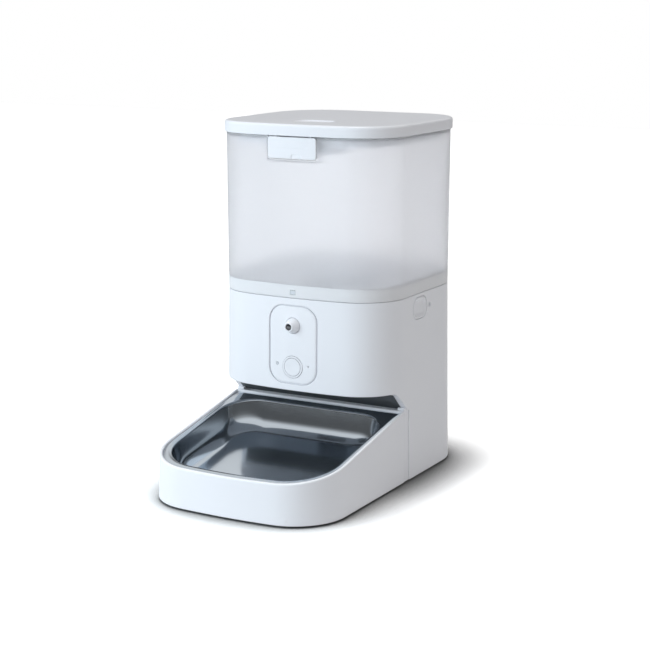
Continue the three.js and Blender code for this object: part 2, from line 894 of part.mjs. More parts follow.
// Space under the overhang, in front of the column, grown by the wall for the housing's inside
function underhang(grow) {
  const frontY = bodyFrontY - overrun;
  const cheekTopY = bodyFrontY + housing.cheekDepth;
  const cheekLowY = bodyFrontY + housing.cheekLowDepth;
  return across([
    [frontY, -overrun],
    [columnY + grow, -overrun],
    [columnY + grow, housing.cheekLowZ + grow],
    [cheekLowY + grow, housing.cheekLowZ + grow],
    [cheekTopY + grow, housing.overhangZ + grow],
    [frontY, housing.overhangZ + grow],
  ], body.halfWidth + overrun);
}

function housingBody() {
  const outer = housingBlock(0, groundGap, body.seamZ).subtract(underhang(0));
  const inner = housingBlock(housing.wall, groundGap - overrun, housing.deckZ)
    .subtract(underhang(housing.wall));
  const recessLowZ = housing.deckZ + housing.deckThickness;
  const topRecess = housingBlock(housing.wall, recessLowZ, body.seamZ + overrun);
  const holeRadius = cup.radius + cup.wall + 2 * gap;
  const cupHole = rod("z", holeRadius, [0, rotorY], housing.deckZ - overrun, recessLowZ + overrun);
  return outer.subtract(inner).subtract(topRecess).subtract(cupHole);
}

// Side fins that fill the step between the tray and the column
function dockFins() {
  const lowY = trayRearY + gap;
  const highZ = housing.cheekLowZ + housing.wall;
  const side = body.halfWidth + overrun;
  const finBody = housingBlock(housing.finInset, groundGap, highZ);
  const slice = block([-side, lowY, 0], [side, columnY + housing.wall, highZ + overrun]);
  const middle = housingHalfWidth(0) - housing.finThickness;
  const gapBlock = block([-middle, lowY - overrun, -overrun], [middle, columnY + overrun, highZ + overrun]);
  return finBody.intersect(slice).subtract(gapBlock);
}

function panelOutline(inset) {
  const width = panel.width - 2 * inset;
  return roundedRectangle(width, panel.height - 2 * inset, panel.radius - inset, 0, panelMidZ);
}

function panelPad() {
  const width = panel.width + 2 * panel.padMargin;
  const height = panel.height - panel.groove;
  const frontY = housingFrontY(panelMidZ);
  const shape = roundedRectangle(width, height, panel.radius, 0, panelMidZ + panel.groove);
  return along(shape, frontY + housing.wall / 2, frontY + panel.padDepth);
}

function panelRecess() {
  const frontY = housingFrontY(panel.lowZ);
  const highZ = panel.lowZ + panel.height + overrun;
  return along(panelOutline(0), frontY - overrun, frontY + panel.width)
    .subtract(housingBlock(panel.recess, panel.lowZ - overrun, highZ));
}

function boardPosts() {
  const frontY = housingFrontY(panelMidZ) + panel.padDepth - gap;
  const backY = housingFrontY(panelMidZ) + boardDepth - gap;
  const x = board.halfWidth - board.postInset;
  const heights = [board.lowZ + board.postInset, board.highZ - board.postInset];
  const posts = [-x, x].flatMap((postX) => heights.map((z) => (
    rod("y", board.postRadius, [postX, z], frontY, backY, smallSegments)
  )));
  return joinAll(posts);
}

function frontHoles() {
  const fromY = bodyFrontY - overrun;
  const toY = housingFrontY(panelMidZ) + panel.padDepth + overrun;
  return joinAll([
    rod("y", camera.bezelRadius + gap, [0, camera.z], fromY, toY),
    rod("y", feed.ringRadius + gap, [0, feed.z], fromY, toY),
    rod("y", indicator.lightRadius + gap, [-indicator.offsetX, indicator.z], fromY, toY, smallSegments),
    rod("y", indicator.micHoleRadius, [indicator.offsetX, indicator.z], fromY, toY, smallSegments),
  ]);
}

function releaseOutline(inset) {
  const length = release.length - 2 * inset;
  const height = release.height - 2 * inset;
  return roundedRectangle(length, height, release.cornerRadius - inset, releaseY, release.z);
}

const releaseFaceX = housingHalfWidth(release.z);
const releaseBackX = releaseFaceX - release.capThickness - release.stemLength;
const seatOpenX = releaseBackX - gap - spring.length + spring.seatLength - release.travel - gap;
const seatBackX = seatOpenX - spring.seatLength;

// The side button's hole, the deck's room for it and the seat of its spring
function releaseRoom(side) {
  const hole = sideways(releaseOutline(-gap), releaseBackX, body.halfWidth + overrun);
  const roomX = releaseBackX - release.travel - release.armThickness;
  const low = [roomX, releaseY - release.length / 2, housing.deckZ - gap];
  const high = [seamHalfWidth - housing.wall, releaseY + release.length / 2, body.seamZ];
  const room = hole.add(block(low, high));
  return side > 0 ? room : room.mirror([1, 0, 0]);
}

function springSeat(side) {
  const bore = (spring.radius + spring.wireRadius + gap) / Math.cos(Math.PI / smallSegments);
  const z = release.z - release.stemInset;
  const centre = [releaseY, z];
  const tube = rod("x", bore + spring.seatWall, centre, seatBackX - spring.seatWall, seatOpenX, smallSegments)
    .subtract(rod("x", bore, centre, seatBackX, seatOpenX + overrun, smallSegments));
  const hanger = block(
    [seatBackX - spring.seatWall, releaseY - spring.seatWall, z + bore + gap],
    [seatOpenX - overrun, releaseY + spring.seatWall, housing.deckZ + gap],
  );
  const seat = tube.add(hanger);
  return side > 0 ? seat : seat.mirror([1, 0, 0]);
}

const screwX = floorHalfWidth - screw.wallOffset;
const screwPlaces = [-screwX, screwX].flatMap((x) => [
  [x, columnY + screw.frontBehindColumn],
  [x, bodyBackY - screw.backInset],
]);

function screwBosses() {
  const lowZ = plateHighZ + gap;
  const boreRadius = screw.shankRadius + gap;
  const boreHighZ = plate.lowZ + screw.length + 2 * gap;
  return joinAll(screwPlaces.map(([x, y]) => (
    rod("z", boss.radius, [x, y], lowZ, lowZ + boss.height, smallSegments)
      .subtract(rod("z", boreRadius, [x, y], lowZ - overrun, boreHighZ, smallSegments))
  )));
}

function tongueSlots() {
  const half = tray.tongueHalfWidth + tray.tongueGap;
  const lowZ = tray.tongueLowZ - tray.tongueGap;
  const highZ = tray.tongueLowZ + tray.tongueHeight + tray.tongueGap;
  const backY = columnY + housing.wall + overrun;
  return sidePair(tray.tongueX - half, tray.tongueX + half, columnY - overrun, backY, lowZ, highZ);
}

function speakerSlots() {
  const backY = housingBackY(speaker.z);
  const pitch = 2 * speaker.slotWidth;
  const cuts = [];
  for (let i = 0; i < speaker.slots; i += 1) {
    const z = speaker.z + (i - (speaker.slots - 1) / 2) * pitch;
    cuts.push(block(
      [-speaker.slotLength / 2, backY - housing.wall - overrun, z - speaker.slotWidth / 2],
      [speaker.slotLength / 2, backY + overrun, z + speaker.slotWidth / 2],
    ));
  }
  return joinAll(cuts);
}

function inletBlock(grow) {
  const backY = housingBackY(inlet.z);
  return block(
    [inlet.x - inlet.width / 2 - grow, backY - inlet.depth, inlet.z - inlet.height / 2 - grow],
    [inlet.x + inlet.width / 2 + grow, backY + grow, inlet.z + inlet.height / 2 + grow],
  );
}

// Battery door's outline from below: a lower plate, and an upper plate with side tongues
function doorBlock(sideGap, frontGap, lowZ, splitZ, highZ) {
  const frontY = bayFrontY - door.frontMargin - frontGap;
  const backY = bodyBackY + overrun;
  const lower = block([-bayHalfWidth - sideGap, frontY, lowZ], [bayHalfWidth + sideGap, backY, highZ]);
  const tongueX = bayHalfWidth + door.tongue + sideGap;
  return lower.add(block([-tongueX, frontY, splitZ], [tongueX, backY, highZ]));
}

const doorSplitZ = plate.lowZ + door.lowerThickness;
const doorHighZ = doorSplitZ + door.upperThickness;

function housingShell() {
  const outlet = block(
    [-chute.outletHalfWidth, outletFrontY, housing.overhangZ - overrun],
    [chute.outletHalfWidth, outletBackY, housing.overhangZ + housing.wall + overrun],
  );
  const doorExit = doorBlock(gap, gap, -overrun, doorSplitZ - gap, doorHighZ + gap)
    .subtract(block(
      [-body.halfWidth, -body.halfDepth, -overrun],
      [body.halfWidth, bodyBackY - housing.wall - overrun, doorHighZ + overrun],
    ));
  const seats = springSeat(1).add(springSeat(-1));
  return joinAll([housingBody(), dockFins(), panelPad(), boardPosts(), screwBosses(), seats])
    .subtract(panelRecess())
    .subtract(frontHoles())
    .subtract(releaseRoom(1))
    .subtract(releaseRoom(-1))
    .subtract(outlet)
    .subtract(tongueSlots())
    .subtract(speakerSlots())
    .subtract(inletBlock(gap))
    .subtract(doorExit);
}

const footFrontX = body.halfWidth - foot.frontSideInset;
const footFrontY = columnY + foot.frontBehindColumn;
const footBackX = body.halfWidth - foot.backSideInset;
const footBackY = bodyBackY - foot.backInset;
const footPlaces = [
  [-footFrontX, footFrontY],
  [footFrontX, footFrontY],
  [-footBackX, footBackY],
  [footBackX, footBackY],
];

function basePlate() {
  const side = body.halfWidth + overrun;
  const behindColumn = block(
    [-side, columnY + housing.wall + gap, 0],
    [side, bodyBackY + overrun, plateHighZ + overrun],
  );
  const sheet = housingBlock(housing.wall + gap, plate.lowZ, plateHighZ).intersect(behindColumn);
  const bayBox = block(
    [-bayHalfWidth - bay.wall, bayFrontY - bay.wall, plate.lowZ + gap],
    [bayHalfWidth + bay.wall, bayBackY + bay.wall, bay.topZ + bay.wall],
  );
  const bayRoom = block([-bayHalfWidth, bayFrontY, -overrun], [bayHalfWidth, bayBackY, bay.topZ]);
  const groove = doorBlock(gap, gap, -overrun, doorSplitZ - gap, doorHighZ + gap);
  let solid = sheet.add(bayBox).subtract(bayRoom).subtract(groove);
  for (const [x, y] of footPlaces) {
    solid = solid.subtract(rod("z", foot.radius + gap, [x, y], -overrun, plate.lowZ + foot.pocketDepth));
  }
  const headHighZ = plate.lowZ + screw.headHeight + 2 * gap;
  for (const [x, y] of screwPlaces) {
    const place = [x, y];
    const shankHole = rod("z", screw.shankRadius + gap, place, -overrun, plateHighZ + overrun, smallSegments);
    const headHole = rod("z", screw.headRadius + gap, place, -overrun, headHighZ, smallSegments);
    solid = solid.subtract(shankHole).subtract(headHole);
  }
  return solid;
}

function batteryDoor() {
  const whole = doorBlock(0, 0, plate.lowZ, doorSplitZ, doorHighZ);
  const outline = housingBlock(0, groundGap, plateHighZ);
  const backY = housingBackY(plate.lowZ);
  const gripLow = [-door.gripWidth / 2, backY - 3 * door.gripDepth, plate.lowZ - overrun];
  const gripHigh = [door.gripWidth / 2, backY - 2 * door.gripDepth, plate.lowZ + door.gripHeight];
  return whole.intersect(outline).subtract(block(gripLow, gripHigh));
}

function screwGeometry(shankRadius, headRadius, headHeight, length) {
  return turned([
    [0, 0],
    [headRadius, 0],
    [headRadius, headHeight],
    [shankRadius, headHeight],
    [shankRadius, length],
    [0, length],
  ], smallSegments);
}

function buildHousing() {
  const group = addGroup("housing_assembly");
  addPiece(group, "housing_shell", housingShell(), "white");
  addPiece(group, "base_plate", basePlate(), "white");
  addPiece(group, "battery_door", batteryDoor(), "white");
  const screwShape = screwGeometry(screw.shankRadius, screw.headRadius, screw.headHeight, screw.length);
  screwPlaces.forEach(([x, y], i) => {
    addPiece(group, `base_screw_${i + 1}`, screwShape, "zinc", [x, y, plate.lowZ + gap]);
  });
  const footHeight = plate.lowZ + foot.pocketDepth - gap;
  const footShape = turned([[0, 0], [foot.radius, 0], [foot.radius, footHeight], [0, footHeight]]);
  footPlaces.forEach(([x, y], i) => addPiece(group, `base_foot_${i + 1}`, footShape, "rubber", [x, y, 0]));
}

// Camera, button, light and microphone in the front panel
function frontPanelPlate() {
  const frontY = housingFrontY(panel.lowZ);
  const lowZ = panel.lowZ - overrun;
  const highZ = panel.lowZ + panel.height + overrun;
  return housingBlock(0, lowZ, highZ)
    .subtract(housingBlock(panel.thickness, lowZ - overrun, highZ + overrun))
    .intersect(along(panelOutline(panel.groove), frontY - overrun, frontY + panel.width))
    .subtract(frontHoles());
}

// Parts turned about y: the profile's height runs back from the front face
function turnedBack(profile, segments = roundSegments) {
  return turned(profile, segments).rotateX(-Math.PI / 2);
}

function cameraPieces(group) {
  const faceY = housingFrontY(camera.z);
  const boreRadius = camera.lensRadius + gap;
  const bezel = turnedBack([
    [camera.tipRadius, -camera.proud],
    [camera.bezelRadius, 0],
    [camera.bezelRadius, camera.bezelDepth],
    [boreRadius, camera.bezelDepth],
    [boreRadius, -camera.proud],
    [camera.tipRadius, -camera.proud],
  ]);
  addPiece(group, "camera_bezel", bezel, "white", [0, faceY, camera.z]);
  const lensFrontY = faceY - camera.proud + camera.lensInset;
  const lens = turnedBack([
    [0, 0],
    [camera.lensRadius, 0],
    [camera.lensRadius, camera.lensThickness],
    [0, camera.lensThickness],
  ]);
  addPiece(group, "camera_lens", lens, "darkGlass", [0, lensFrontY, camera.z]);
  const half = camera.blockSize / 2;
  const blockFrontY = faceY + camera.bezelDepth + gap;
  const barrelFrontY = lensFrontY + camera.lensThickness + gap;
  const barrel = rod("y", camera.lensRadius, [0, camera.z], barrelFrontY, blockFrontY + overrun);
  const boardFrontY = housingFrontY(panelMidZ) + boardDepth;
  const low = [-half, blockFrontY, camera.z - half];
  const moduleCase = block(low, [half, boardFrontY - gap, camera.z + half]);
  addPiece(group, "camera_module", moduleCase.add(barrel), "darkPlastic");
}

function feedButtonPieces(group) {
  const faceY = housingFrontY(feed.z);
  const ring = turnedBack([
    [feed.ringRadius - feed.ringWall, -feed.ringProud],
    [feed.ringRadius, -feed.ringProud],
    [feed.ringRadius, panel.padDepth],
    [feed.ringRadius - feed.ringWall, panel.padDepth],
    [feed.ringRadius - feed.ringWall, -feed.ringProud],
  ]);
  addPiece(group, "button_ring", ring, "white", [0, faceY, feed.z]);
  const boardFrontY = housingFrontY(panelMidZ) + boardDepth;
  const switchFrontY = boardFrontY - feed.switchDepth;
  const boreBackY = switchFrontY + feed.switchBore;
  const stemDepth = boreBackY - feed.travel - gap - faceY;
  const lip = feed.buttonRadius - feed.ringWall;
  const button = turnedBack([
    [0, feed.dishDepth - feed.buttonProud],
    [lip, -feed.buttonProud],
    [feed.buttonRadius, gap - feed.buttonProud],
    [feed.buttonRadius, feed.buttonDepth],
    [feed.stemRadius, feed.buttonDepth],
    [feed.stemRadius, stemDepth],
    [0, stemDepth],
  ]);
  addPiece(group, "feed_button", button, "white", [0, faceY, feed.z]);
  const half = feed.switchSize / 2;
  const switchBody = block([-half, switchFrontY, feed.z - half], [half, boardFrontY - gap, feed.z + half])
    .subtract(rod("y", feed.stemRadius + gap, [0, feed.z], switchFrontY - overrun, boreBackY));
  addPiece(group, "feed_switch", switchBody, "darkPlastic");
}

function boardPieces(group) {
  const frontY = housingFrontY(panelMidZ) + boardDepth;
  const low = [-board.halfWidth, frontY, board.lowZ];
  const high = [board.halfWidth, frontY + board.thickness, board.highZ];
  addPiece(group, "control_board", block(low, high), "greenBoard");
  const faceY = housingFrontY(indicator.z);
  const pipeLength = frontY - faceY - 2 * gap;
  const light = rod("y", indicator.lightRadius, [0, 0], 0, pipeLength, smallSegments);
  addPiece(group, "status_light", light, "lightPipe", [-indicator.offsetX, faceY + gap, indicator.z]);
  const micLength = frontY - gap - faceY - indicator.micDepth;
  const capsule = rod("y", indicator.micRadius, [0, 0], 0, micLength, smallSegments);
  const micPlace = [indicator.offsetX, faceY + indicator.micDepth, indicator.z];
  addPiece(group, "microphone", capsule, "darkPlastic", micPlace);
}

class SpringCurve extends THREE.Curve {
  getPoint(share) {
    const angle = share * spring.turns * 2 * Math.PI;
    const wind = spring.length - 2 * spring.wireRadius;
    return new THREE.Vector3(
      spring.wireRadius + share * wind,
      spring.radius * Math.cos(angle),
      spring.radius * Math.sin(angle),
    );
  }
}

function springGeometry() {
  const section = new THREE.Shape();
  for (let i = 0; i < spring.sides; i += 1) {
    const angle = 2 * Math.PI * i / spring.sides;
    const x = spring.wireRadius * Math.cos(angle);
    const y = spring.wireRadius * Math.sin(angle);
    if (i === 0) section.moveTo(x, y);
    else section.lineTo(x, y);
  }
  section.closePath();
  const steps = spring.turns * spring.stepsPerTurn;
  return new THREE.ExtrudeGeometry(section, { steps, extrudePath: new SpringCurve(), bevelEnabled: false });
}

// Right side button with its arm and nose; the left one is its mirror image
function releaseButton() {
  const faceX = releaseFaceX;
  const capBackX = faceX - release.capThickness;
  const cap = sideways(releaseOutline(0), capBackX, faceX + overrun)
    .intersect(housingBlock(0, groundGap, body.seamZ));
  const dish = sideways(releaseOutline(release.dishInset), faceX - release.dishDepth, faceX + overrun);
  const stem = sideways(releaseOutline(release.stemInset), releaseBackX, capBackX + gap);
  const noseHighZ = ledgeLowZ + release.ledgeHeight + gap + release.noseHeight;
  const noseTipX = catchX - gap;
  const armHighX = noseTipX - release.noseReach;
  const armLowX = armHighX - release.armThickness;
  const arm = block(
    [armLowX, releaseY - release.armHalfWidth, release.z - release.stemInset],
    [armHighX, releaseY + release.armHalfWidth, noseHighZ],
  );
  const nose = block(
    [armLowX, releaseY - release.armHalfWidth, noseHighZ - release.noseHeight],
    [noseTipX, releaseY + release.armHalfWidth, noseHighZ],
  );
  return joinAll([cap, stem, arm, nose]).subtract(dish);
}

function buildRelease() {
  const group = addGroup("release_assembly");
  const solid = releaseButton();
  addPiece(group, "release_button_right", solid, "white");
  addPiece(group, "release_button_left", solid.mirror([1, 0, 0]), "white");
  const springX = releaseBackX - gap - spring.length;
  const springZ = release.z - release.stemInset;
  const shape = springGeometry();
  addPiece(group, "release_spring_right", shape, "steel", [springX, releaseY, springZ]);
  const left = addPiece(group, "release_spring_left", shape, "steel", [-springX, releaseY, springZ]);
  left.rotation.z = Math.PI;
}

// Metering cup, rotor and drive
function meteringCup() {
  const outerRadius = cup.radius + cup.wall;
  const highZ = housing.deckZ + housing.deckThickness + gap + cup.flangeThickness;
  const flangeLowZ = highZ - cup.flangeThickness;
  const centre = [0, rotorY];
  const wall = rod("z", outerRadius, centre, cup.floorZ, highZ)
    .subtract(rod("z", cup.radius, centre, cupFloorTopZ, highZ + overrun));
  const flange = rod("z", outerRadius + cup.flangeReach, centre, flangeLowZ, highZ)
    .subtract(rod("z", cup.radius, centre, flangeLowZ - overrun, highZ + overrun));
  const drop = block(
    [-cup.holeHalfWidth, rotorY - cup.holeOuter, cup.floorZ - overrun],
    [cup.holeHalfWidth, rotorY - cup.holeInner, cupFloorTopZ + overrun],
  );
  const holeRadius = rotor.shaftRadius + cup.shaftGap;
  const shaftHole = rod("z", holeRadius, centre, cup.floorZ - overrun, cupFloorTopZ + overrun);
  return wall.add(flange).add(cupBaffle()).subtract(drop).subtract(shaftHole);
}

function cupBaffle() {
  const half = THREE.MathUtils.degToRad(cup.baffleHalfAngle);
  const quarter = Math.PI / 2;
  const shape = new THREE.Shape();
  shape.absarc(0, rotorY, cup.radius + cup.wall / 2, -quarter - half, -quarter + half, false);
  shape.absarc(0, rotorY, cup.baffleInner, -quarter + half, -quarter - half, true);
  return prism(shape, baffleLowZ, baffleLowZ + cup.baffleThickness);
}

function portionRotor() {
  const lowZ = cupFloorTopZ + gap;
  const highZ = baffleLowZ - gap;
  const reach = cup.radius - rotor.vaneGap;
  const half = rotor.vaneThickness / 2;
  const hub = rod("z", rotor.hubRadius, [0, 0], lowZ, highZ);
  const vanes = [];
  for (let i = 0; i < rotor.vanes; i += 1) {
    const angle = fullTurnDegrees * (i + 1 / 2) / rotor.vanes - quarterTurnDegrees;
    vanes.push(block([0, -half, lowZ], [reach, half, highZ]).rotate([0, 0, angle]));
  }
  const bore = rod("z", rotor.shaftRadius + gap, [0, 0], lowZ - overrun, highZ + overrun);
  return joinAll([hub, ...vanes]).subtract(bore);
}

function agitator() {
  const lowZ = baffleLowZ;
  const highZ = lowZ + rotor.agitatorRise;
  const spigotLowZ = baffleLowZ - gap - rotor.shaftTopGap + gap;
  const hub = rod("z", rotor.agitatorHubRadius, [0, 0], lowZ, highZ);
  const spigot = rod("z", rotor.shaftRadius, [0, 0], spigotLowZ, lowZ + gap);
  const fingerZ = lowZ + rotor.fingerRise;
  const reach = rotor.fingerReach;
  const fingers = rod("x", rotor.fingerRadius, [0, fingerZ], -reach, reach, smallSegments);
  return joinAll([hub, spigot, fingers]);
}

// Straight-flanked tooth outline with room for a clean mesh
function gearShape(teeth) {
  const pitchRadius = gears.module * teeth / 2;
  const tipRadius = pitchRadius + gears.module * gears.addendumShare;
  const rootRadius = pitchRadius - gears.module * gears.dedendumShare;
  const step = 2 * Math.PI / teeth;
  const corners = [
    [rootRadius, -gears.rootToothShare],
    [pitchRadius, -gears.pitchToothShare],
    [tipRadius, -gears.tipToothShare],
    [tipRadius, gears.tipToothShare],
    [pitchRadius, gears.pitchToothShare],
    [rootRadius, gears.rootToothShare],
  ];
  const points = [];
  for (let tooth = 0; tooth < teeth; tooth += 1) {
    for (const [radius, share] of corners) {
      const angle = (tooth + share) * step;
      points.push(new THREE.Vector2(radius * Math.cos(angle), radius * Math.sin(angle)));
    }
  }
  return new THREE.Shape(points);
}

function gearSolid(teeth, turn, boreRadius) {
  const wheel = prism(gearShape(teeth), gearLowZ, gearHighZ).rotate([0, 0, turn]);
  if (boreRadius === 0) return wheel;
  return wheel.subtract(rod("z", boreRadius, [0, 0], gearLowZ - overrun, gearHighZ + overrun));
}

function gearPlateSolid() {
  const sheet = block(
    [-gearPlate.halfWidth, rotorY - gearPlate.frontReach, gearPlateLowZ],
    [gearPlate.halfWidth, rotorY + gearPlate.backReach, gearPlateHighZ],
  );
  const postYs = [rotorY - gearPlate.frontPostReach, rotorY + gearPlate.backPostReach];
  const posts = postYs.flatMap((y) => [-gearPlate.postX, gearPlate.postX].map((x) => (
    rod("z", gearPlate.postRadius, [x, y], gearPlateLowZ + gap, cup.floorZ - gap, smallSegments)
  )));
  const lowZ = gearPlateLowZ - overrun;
  const highZ = gearPlateHighZ + overrun;
  let solid = joinAll([sheet, ...posts])
    .subtract(rod("z", rotor.shaftRadius + cup.shaftGap, [0, rotorY], lowZ, highZ))
    .subtract(rod("z", motor.shaftRadius + cup.shaftGap, [0, motorY], lowZ, highZ));
  for (const side of [-1, 1]) {
    solid = solid.subtract(rod("z", motor.screwRadius + gap, [side * motor.screwX, motorY], lowZ, highZ));
  }
  return solid;
}

function gearMotorSolid() {
  const gearboxHighZ = gearPlateLowZ - gap;
  const gearboxLowZ = gearboxHighZ - motor.gearboxHeight;
  const centre = [0, motorY];
  const gearbox = rod("z", motor.gearboxRadius, centre, gearboxLowZ, gearboxHighZ);
  const can = rod("z", motor.canRadius, centre, gearboxLowZ - motor.canHeight, gearboxLowZ + gap);
  const highZ = gearboxHighZ + overrun;
  const screwLowZ = gearPlateHighZ - motor.screwLength - gap;
  let solid = gearbox.add(can)
    .subtract(rod("z", motor.shaftRadius + gap, centre, gearboxHighZ - motor.boreDepth, highZ));
  for (const side of [-1, 1]) {
    const place = [side * motor.screwX, motorY];
    solid = solid.subtract(rod("z", motor.screwRadius + gap, place, screwLowZ, highZ));
  }
  return solid;
}

function foodChute() {
  const highZ = cup.floorZ - gap;
  const lowZ = housing.overhangZ + housing.wall + gap;
  const topFrontY = rotorY - cup.holeOuter - gap;
  const topBackY = rotorY - cup.holeInner + gap;
  const outer = across([
    [outletFrontY - chute.wall, lowZ],
    [outletBackY + chute.wall, lowZ],
    [topBackY + chute.wall, highZ],
    [topFrontY - chute.wall, highZ],
  ], chute.outletHalfWidth + chute.wall);
  const slope = (topFrontY - outletFrontY) / (highZ - lowZ);
  const runOut = slope * overrun;
  const inner = across([
    [outletFrontY - runOut, lowZ - overrun],
    [outletBackY - runOut, lowZ - overrun],
    [topBackY + runOut, highZ + overrun],
    [topFrontY + runOut, highZ + overrun],
  ], chute.outletHalfWidth);
  const flange = block(
    [-chute.outletHalfWidth - chute.flange, outletFrontY - chute.flange, lowZ],
    [chute.outletHalfWidth + chute.flange, outletBackY + chute.flange, lowZ + chute.wall],
  );
  return outer.add(flange).subtract(inner);
}

function buildDrive() {
  const group = addGroup("drive_assembly");
  addPiece(group, "metering_cup", meteringCup(), "white");
  const axisGroup = new THREE.Group();
  axisGroup.position.set(0, rotorY, 0);
  group.add(axisGroup);
  addPiece(axisGroup, "portion_rotor", portionRotor(), "silicone");
  addPiece(axisGroup, "agitator", agitator(), "white");
  const shaftHighZ = baffleLowZ - gap - rotor.shaftTopGap;
  const shaft = rod("z", rotor.shaftRadius, [0, 0], cup.floorZ - rotor.shaftBelow, shaftHighZ);
  addPiece(axisGroup, "rotor_shaft", shaft, "steel");
  const wheel = gearSolid(gears.driveTeeth, quarterTurnDegrees, rotor.shaftRadius + gap);
  addPiece(axisGroup, "drive_gear", wheel, "greyPlastic");
  const pinionGroup = new THREE.Group();
  pinionGroup.position.set(0, motorY, 0);
  group.add(pinionGroup);
  const pinionTurn = fullTurnDegrees / gears.pinionTeeth / 2 - quarterTurnDegrees;
  const stub = rod("z", motor.shaftRadius, [0, 0], gearPlateLowZ - motor.boreDepth, gearLowZ + gap);
  addPiece(pinionGroup, "motor_pinion", gearSolid(gears.pinionTeeth, pinionTurn, 0).add(stub), "brass");
  addPiece(group, "gear_plate", gearPlateSolid(), "greyPlastic");
  addPiece(group, "gear_motor", gearMotorSolid(), "zinc");
  const screwShape = screwGeometry(
    motor.screwRadius,
    motor.screwHeadRadius,
    motor.screwHeadHeight,
    motor.screwLength + motor.screwHeadHeight,
  );
  [-1, 1].forEach((side, i) => {
    const mesh = addPiece(group, `motor_screw_${i + 1}`, screwShape, "zinc");
    mesh.position.set(side * motor.screwX, motorY, gearPlateHighZ + gap + motor.screwHeadHeight);
    mesh.rotation.x = Math.PI;
  });
  addPiece(group, "food_chute", foodChute(), "white");
}

function buildRear() {
  const group = addGroup("rear_assembly");
  const innerY = housingBackY(speaker.z + speaker.radius) - housing.wall - gap;
  const basket = turned([
    [0, 0],
    [speaker.radius, 0],
    [speaker.radius, speaker.depth - speaker.magnetDepth],
    [speaker.magnetRadius, speaker.depth],
    [speaker.magnetRadius, speaker.depth + speaker.magnetDepth],
    [0, speaker.depth + speaker.magnetDepth],
  ]).rotateX(Math.PI / 2);
  addPiece(group, "speaker", basket, "darkPlastic", [0, innerY, speaker.z]);
  const backY = housingBackY(inlet.z);
  const centre = [inlet.x, inlet.z];
  const boreLowY = backY - inlet.boreDepth;
  const socket = inletBlock(0)
    .subtract(rod("y", inlet.boreRadius, centre, boreLowY, backY + overrun))
    .add(rod("y", inlet.pinRadius, centre, boreLowY - gap, backY - overrun, smallSegments));
  addPiece(group, "power_inlet", socket, "darkPlastic");
}

function buildFront() {
  const group = addGroup("front_assembly");
  addPiece(group, "front_panel", frontPanelPlate(), "white");
  cameraPieces(group);
  feedButtonPieces(group);
  boardPieces(group);
}

// Tray and bowl
const trayPlan = {
  halfWidth: trayHalfWidth,
  frontY: trayFrontY,
  backY: trayRearY,
  frontRadius: tray.frontRadius,
  backRadius: tray.rearRadius,
  faceRadius: tray.faceRadius,
};
const trayRise = (tray.rearHeight - tray.frontHeight) / (trayRearY - trayFrontY);

function traySlopeZ(y) {
  return tray.frontHeight + trayRise * (y - trayFrontY);
}

function trayBlock(inset) {
  const highZ = tray.rearHeight + overrun;
  const stations = [[groundGap, 1], [highZ, (trayHalfWidth - tray.topInset) / trayHalfWidth]];
  return drafted(planShape(trayPlan, inset), stations, trayRearY);
}

// Everything above the tray's sloped top, lowered by drop
function aboveSlope(drop) {
  const frontY = trayFrontY - overrun;
  const backY = trayRearY + overrun;
  const highZ = 2 * tray.rearHeight;
  return across([
    [frontY, traySlopeZ(frontY) - drop],
    [backY, traySlopeZ(backY) - drop],
    [backY, highZ],
    [frontY, highZ],
  ], trayHalfWidth + overrun);
}

const bowlPlan = {
  halfWidth: trayHalfWidth - bowl.sideInset,
  frontY: trayFrontY + bowl.frontInset,
  backY: trayRearY - bowl.rearInset,
  frontRadius: bowl.frontRadius,
  backRadius: bowl.rearRadius,
  faceRadius: bowl.faceRadius,
};
const bowlMidY = (bowlPlan.frontY + bowlPlan.backY) / 2;

const trayCornerX = trayHalfWidth - tray.frontRadius;
const trayCornerY = trayFrontY + tray.frontRadius;
const trayFootReach = tray.frontRadius - trayFoot.bossInset;
const trayFootAngle = THREE.MathUtils.degToRad(trayFoot.frontAngle);
const trayFootFrontX = trayCornerX + trayFootReach * Math.cos(trayFootAngle);
const trayFootFrontY = trayCornerY - trayFootReach * Math.sin(trayFootAngle);
const trayFootRearX = trayHalfWidth - trayFoot.bossInset;
const trayFootPlaces = [
  [-trayFootFrontX, trayFootFrontY],
  [trayFootFrontX, trayFootFrontY],
  [-trayFootRearX, trayFootRearY],
  [trayFootRearX, trayFootRearY],
];

function trayShell() {
  const outer = trayBlock(0).subtract(aboveSlope(0));
  const pocket = trayBlock(tray.rimWidth).intersect(aboveSlope(tray.pocketDrop));
  const cavity = trayBlock(tray.wall)
    .add(prism(planShape(trayPlan, tray.wall), groundGap - overrun, groundGap + gap))
    .subtract(aboveSlope(tray.pocketDrop + tray.ledge));
  const hole = prism(planShape(bowlPlan, -bowl.holeGap), groundGap, 2 * tray.rearHeight);
  const bosses = joinAll(trayFootPlaces.map(([x, y]) => (
    rod("z", trayFoot.bossRadius, [x, y], plate.lowZ, plate.lowZ + trayFoot.bossHeight)
  )));
  const pockets = joinAll(trayFootPlaces.map(([x, y]) => (
    rod("z", trayFoot.radius + gap, [x, y], -overrun, plate.lowZ + foot.pocketDepth)
  )));
  const tongues = sidePair(
    tray.tongueX - tray.tongueHalfWidth,
    tray.tongueX + tray.tongueHalfWidth,
    trayRearY - tray.wall / 2,
    trayRearY + tray.tongueLength,
    tray.tongueLowZ,
    tray.tongueLowZ + tray.tongueHeight,
  );
  return outer.subtract(pocket).subtract(cavity).subtract(hole).add(bosses).subtract(pockets).add(tongues);
}

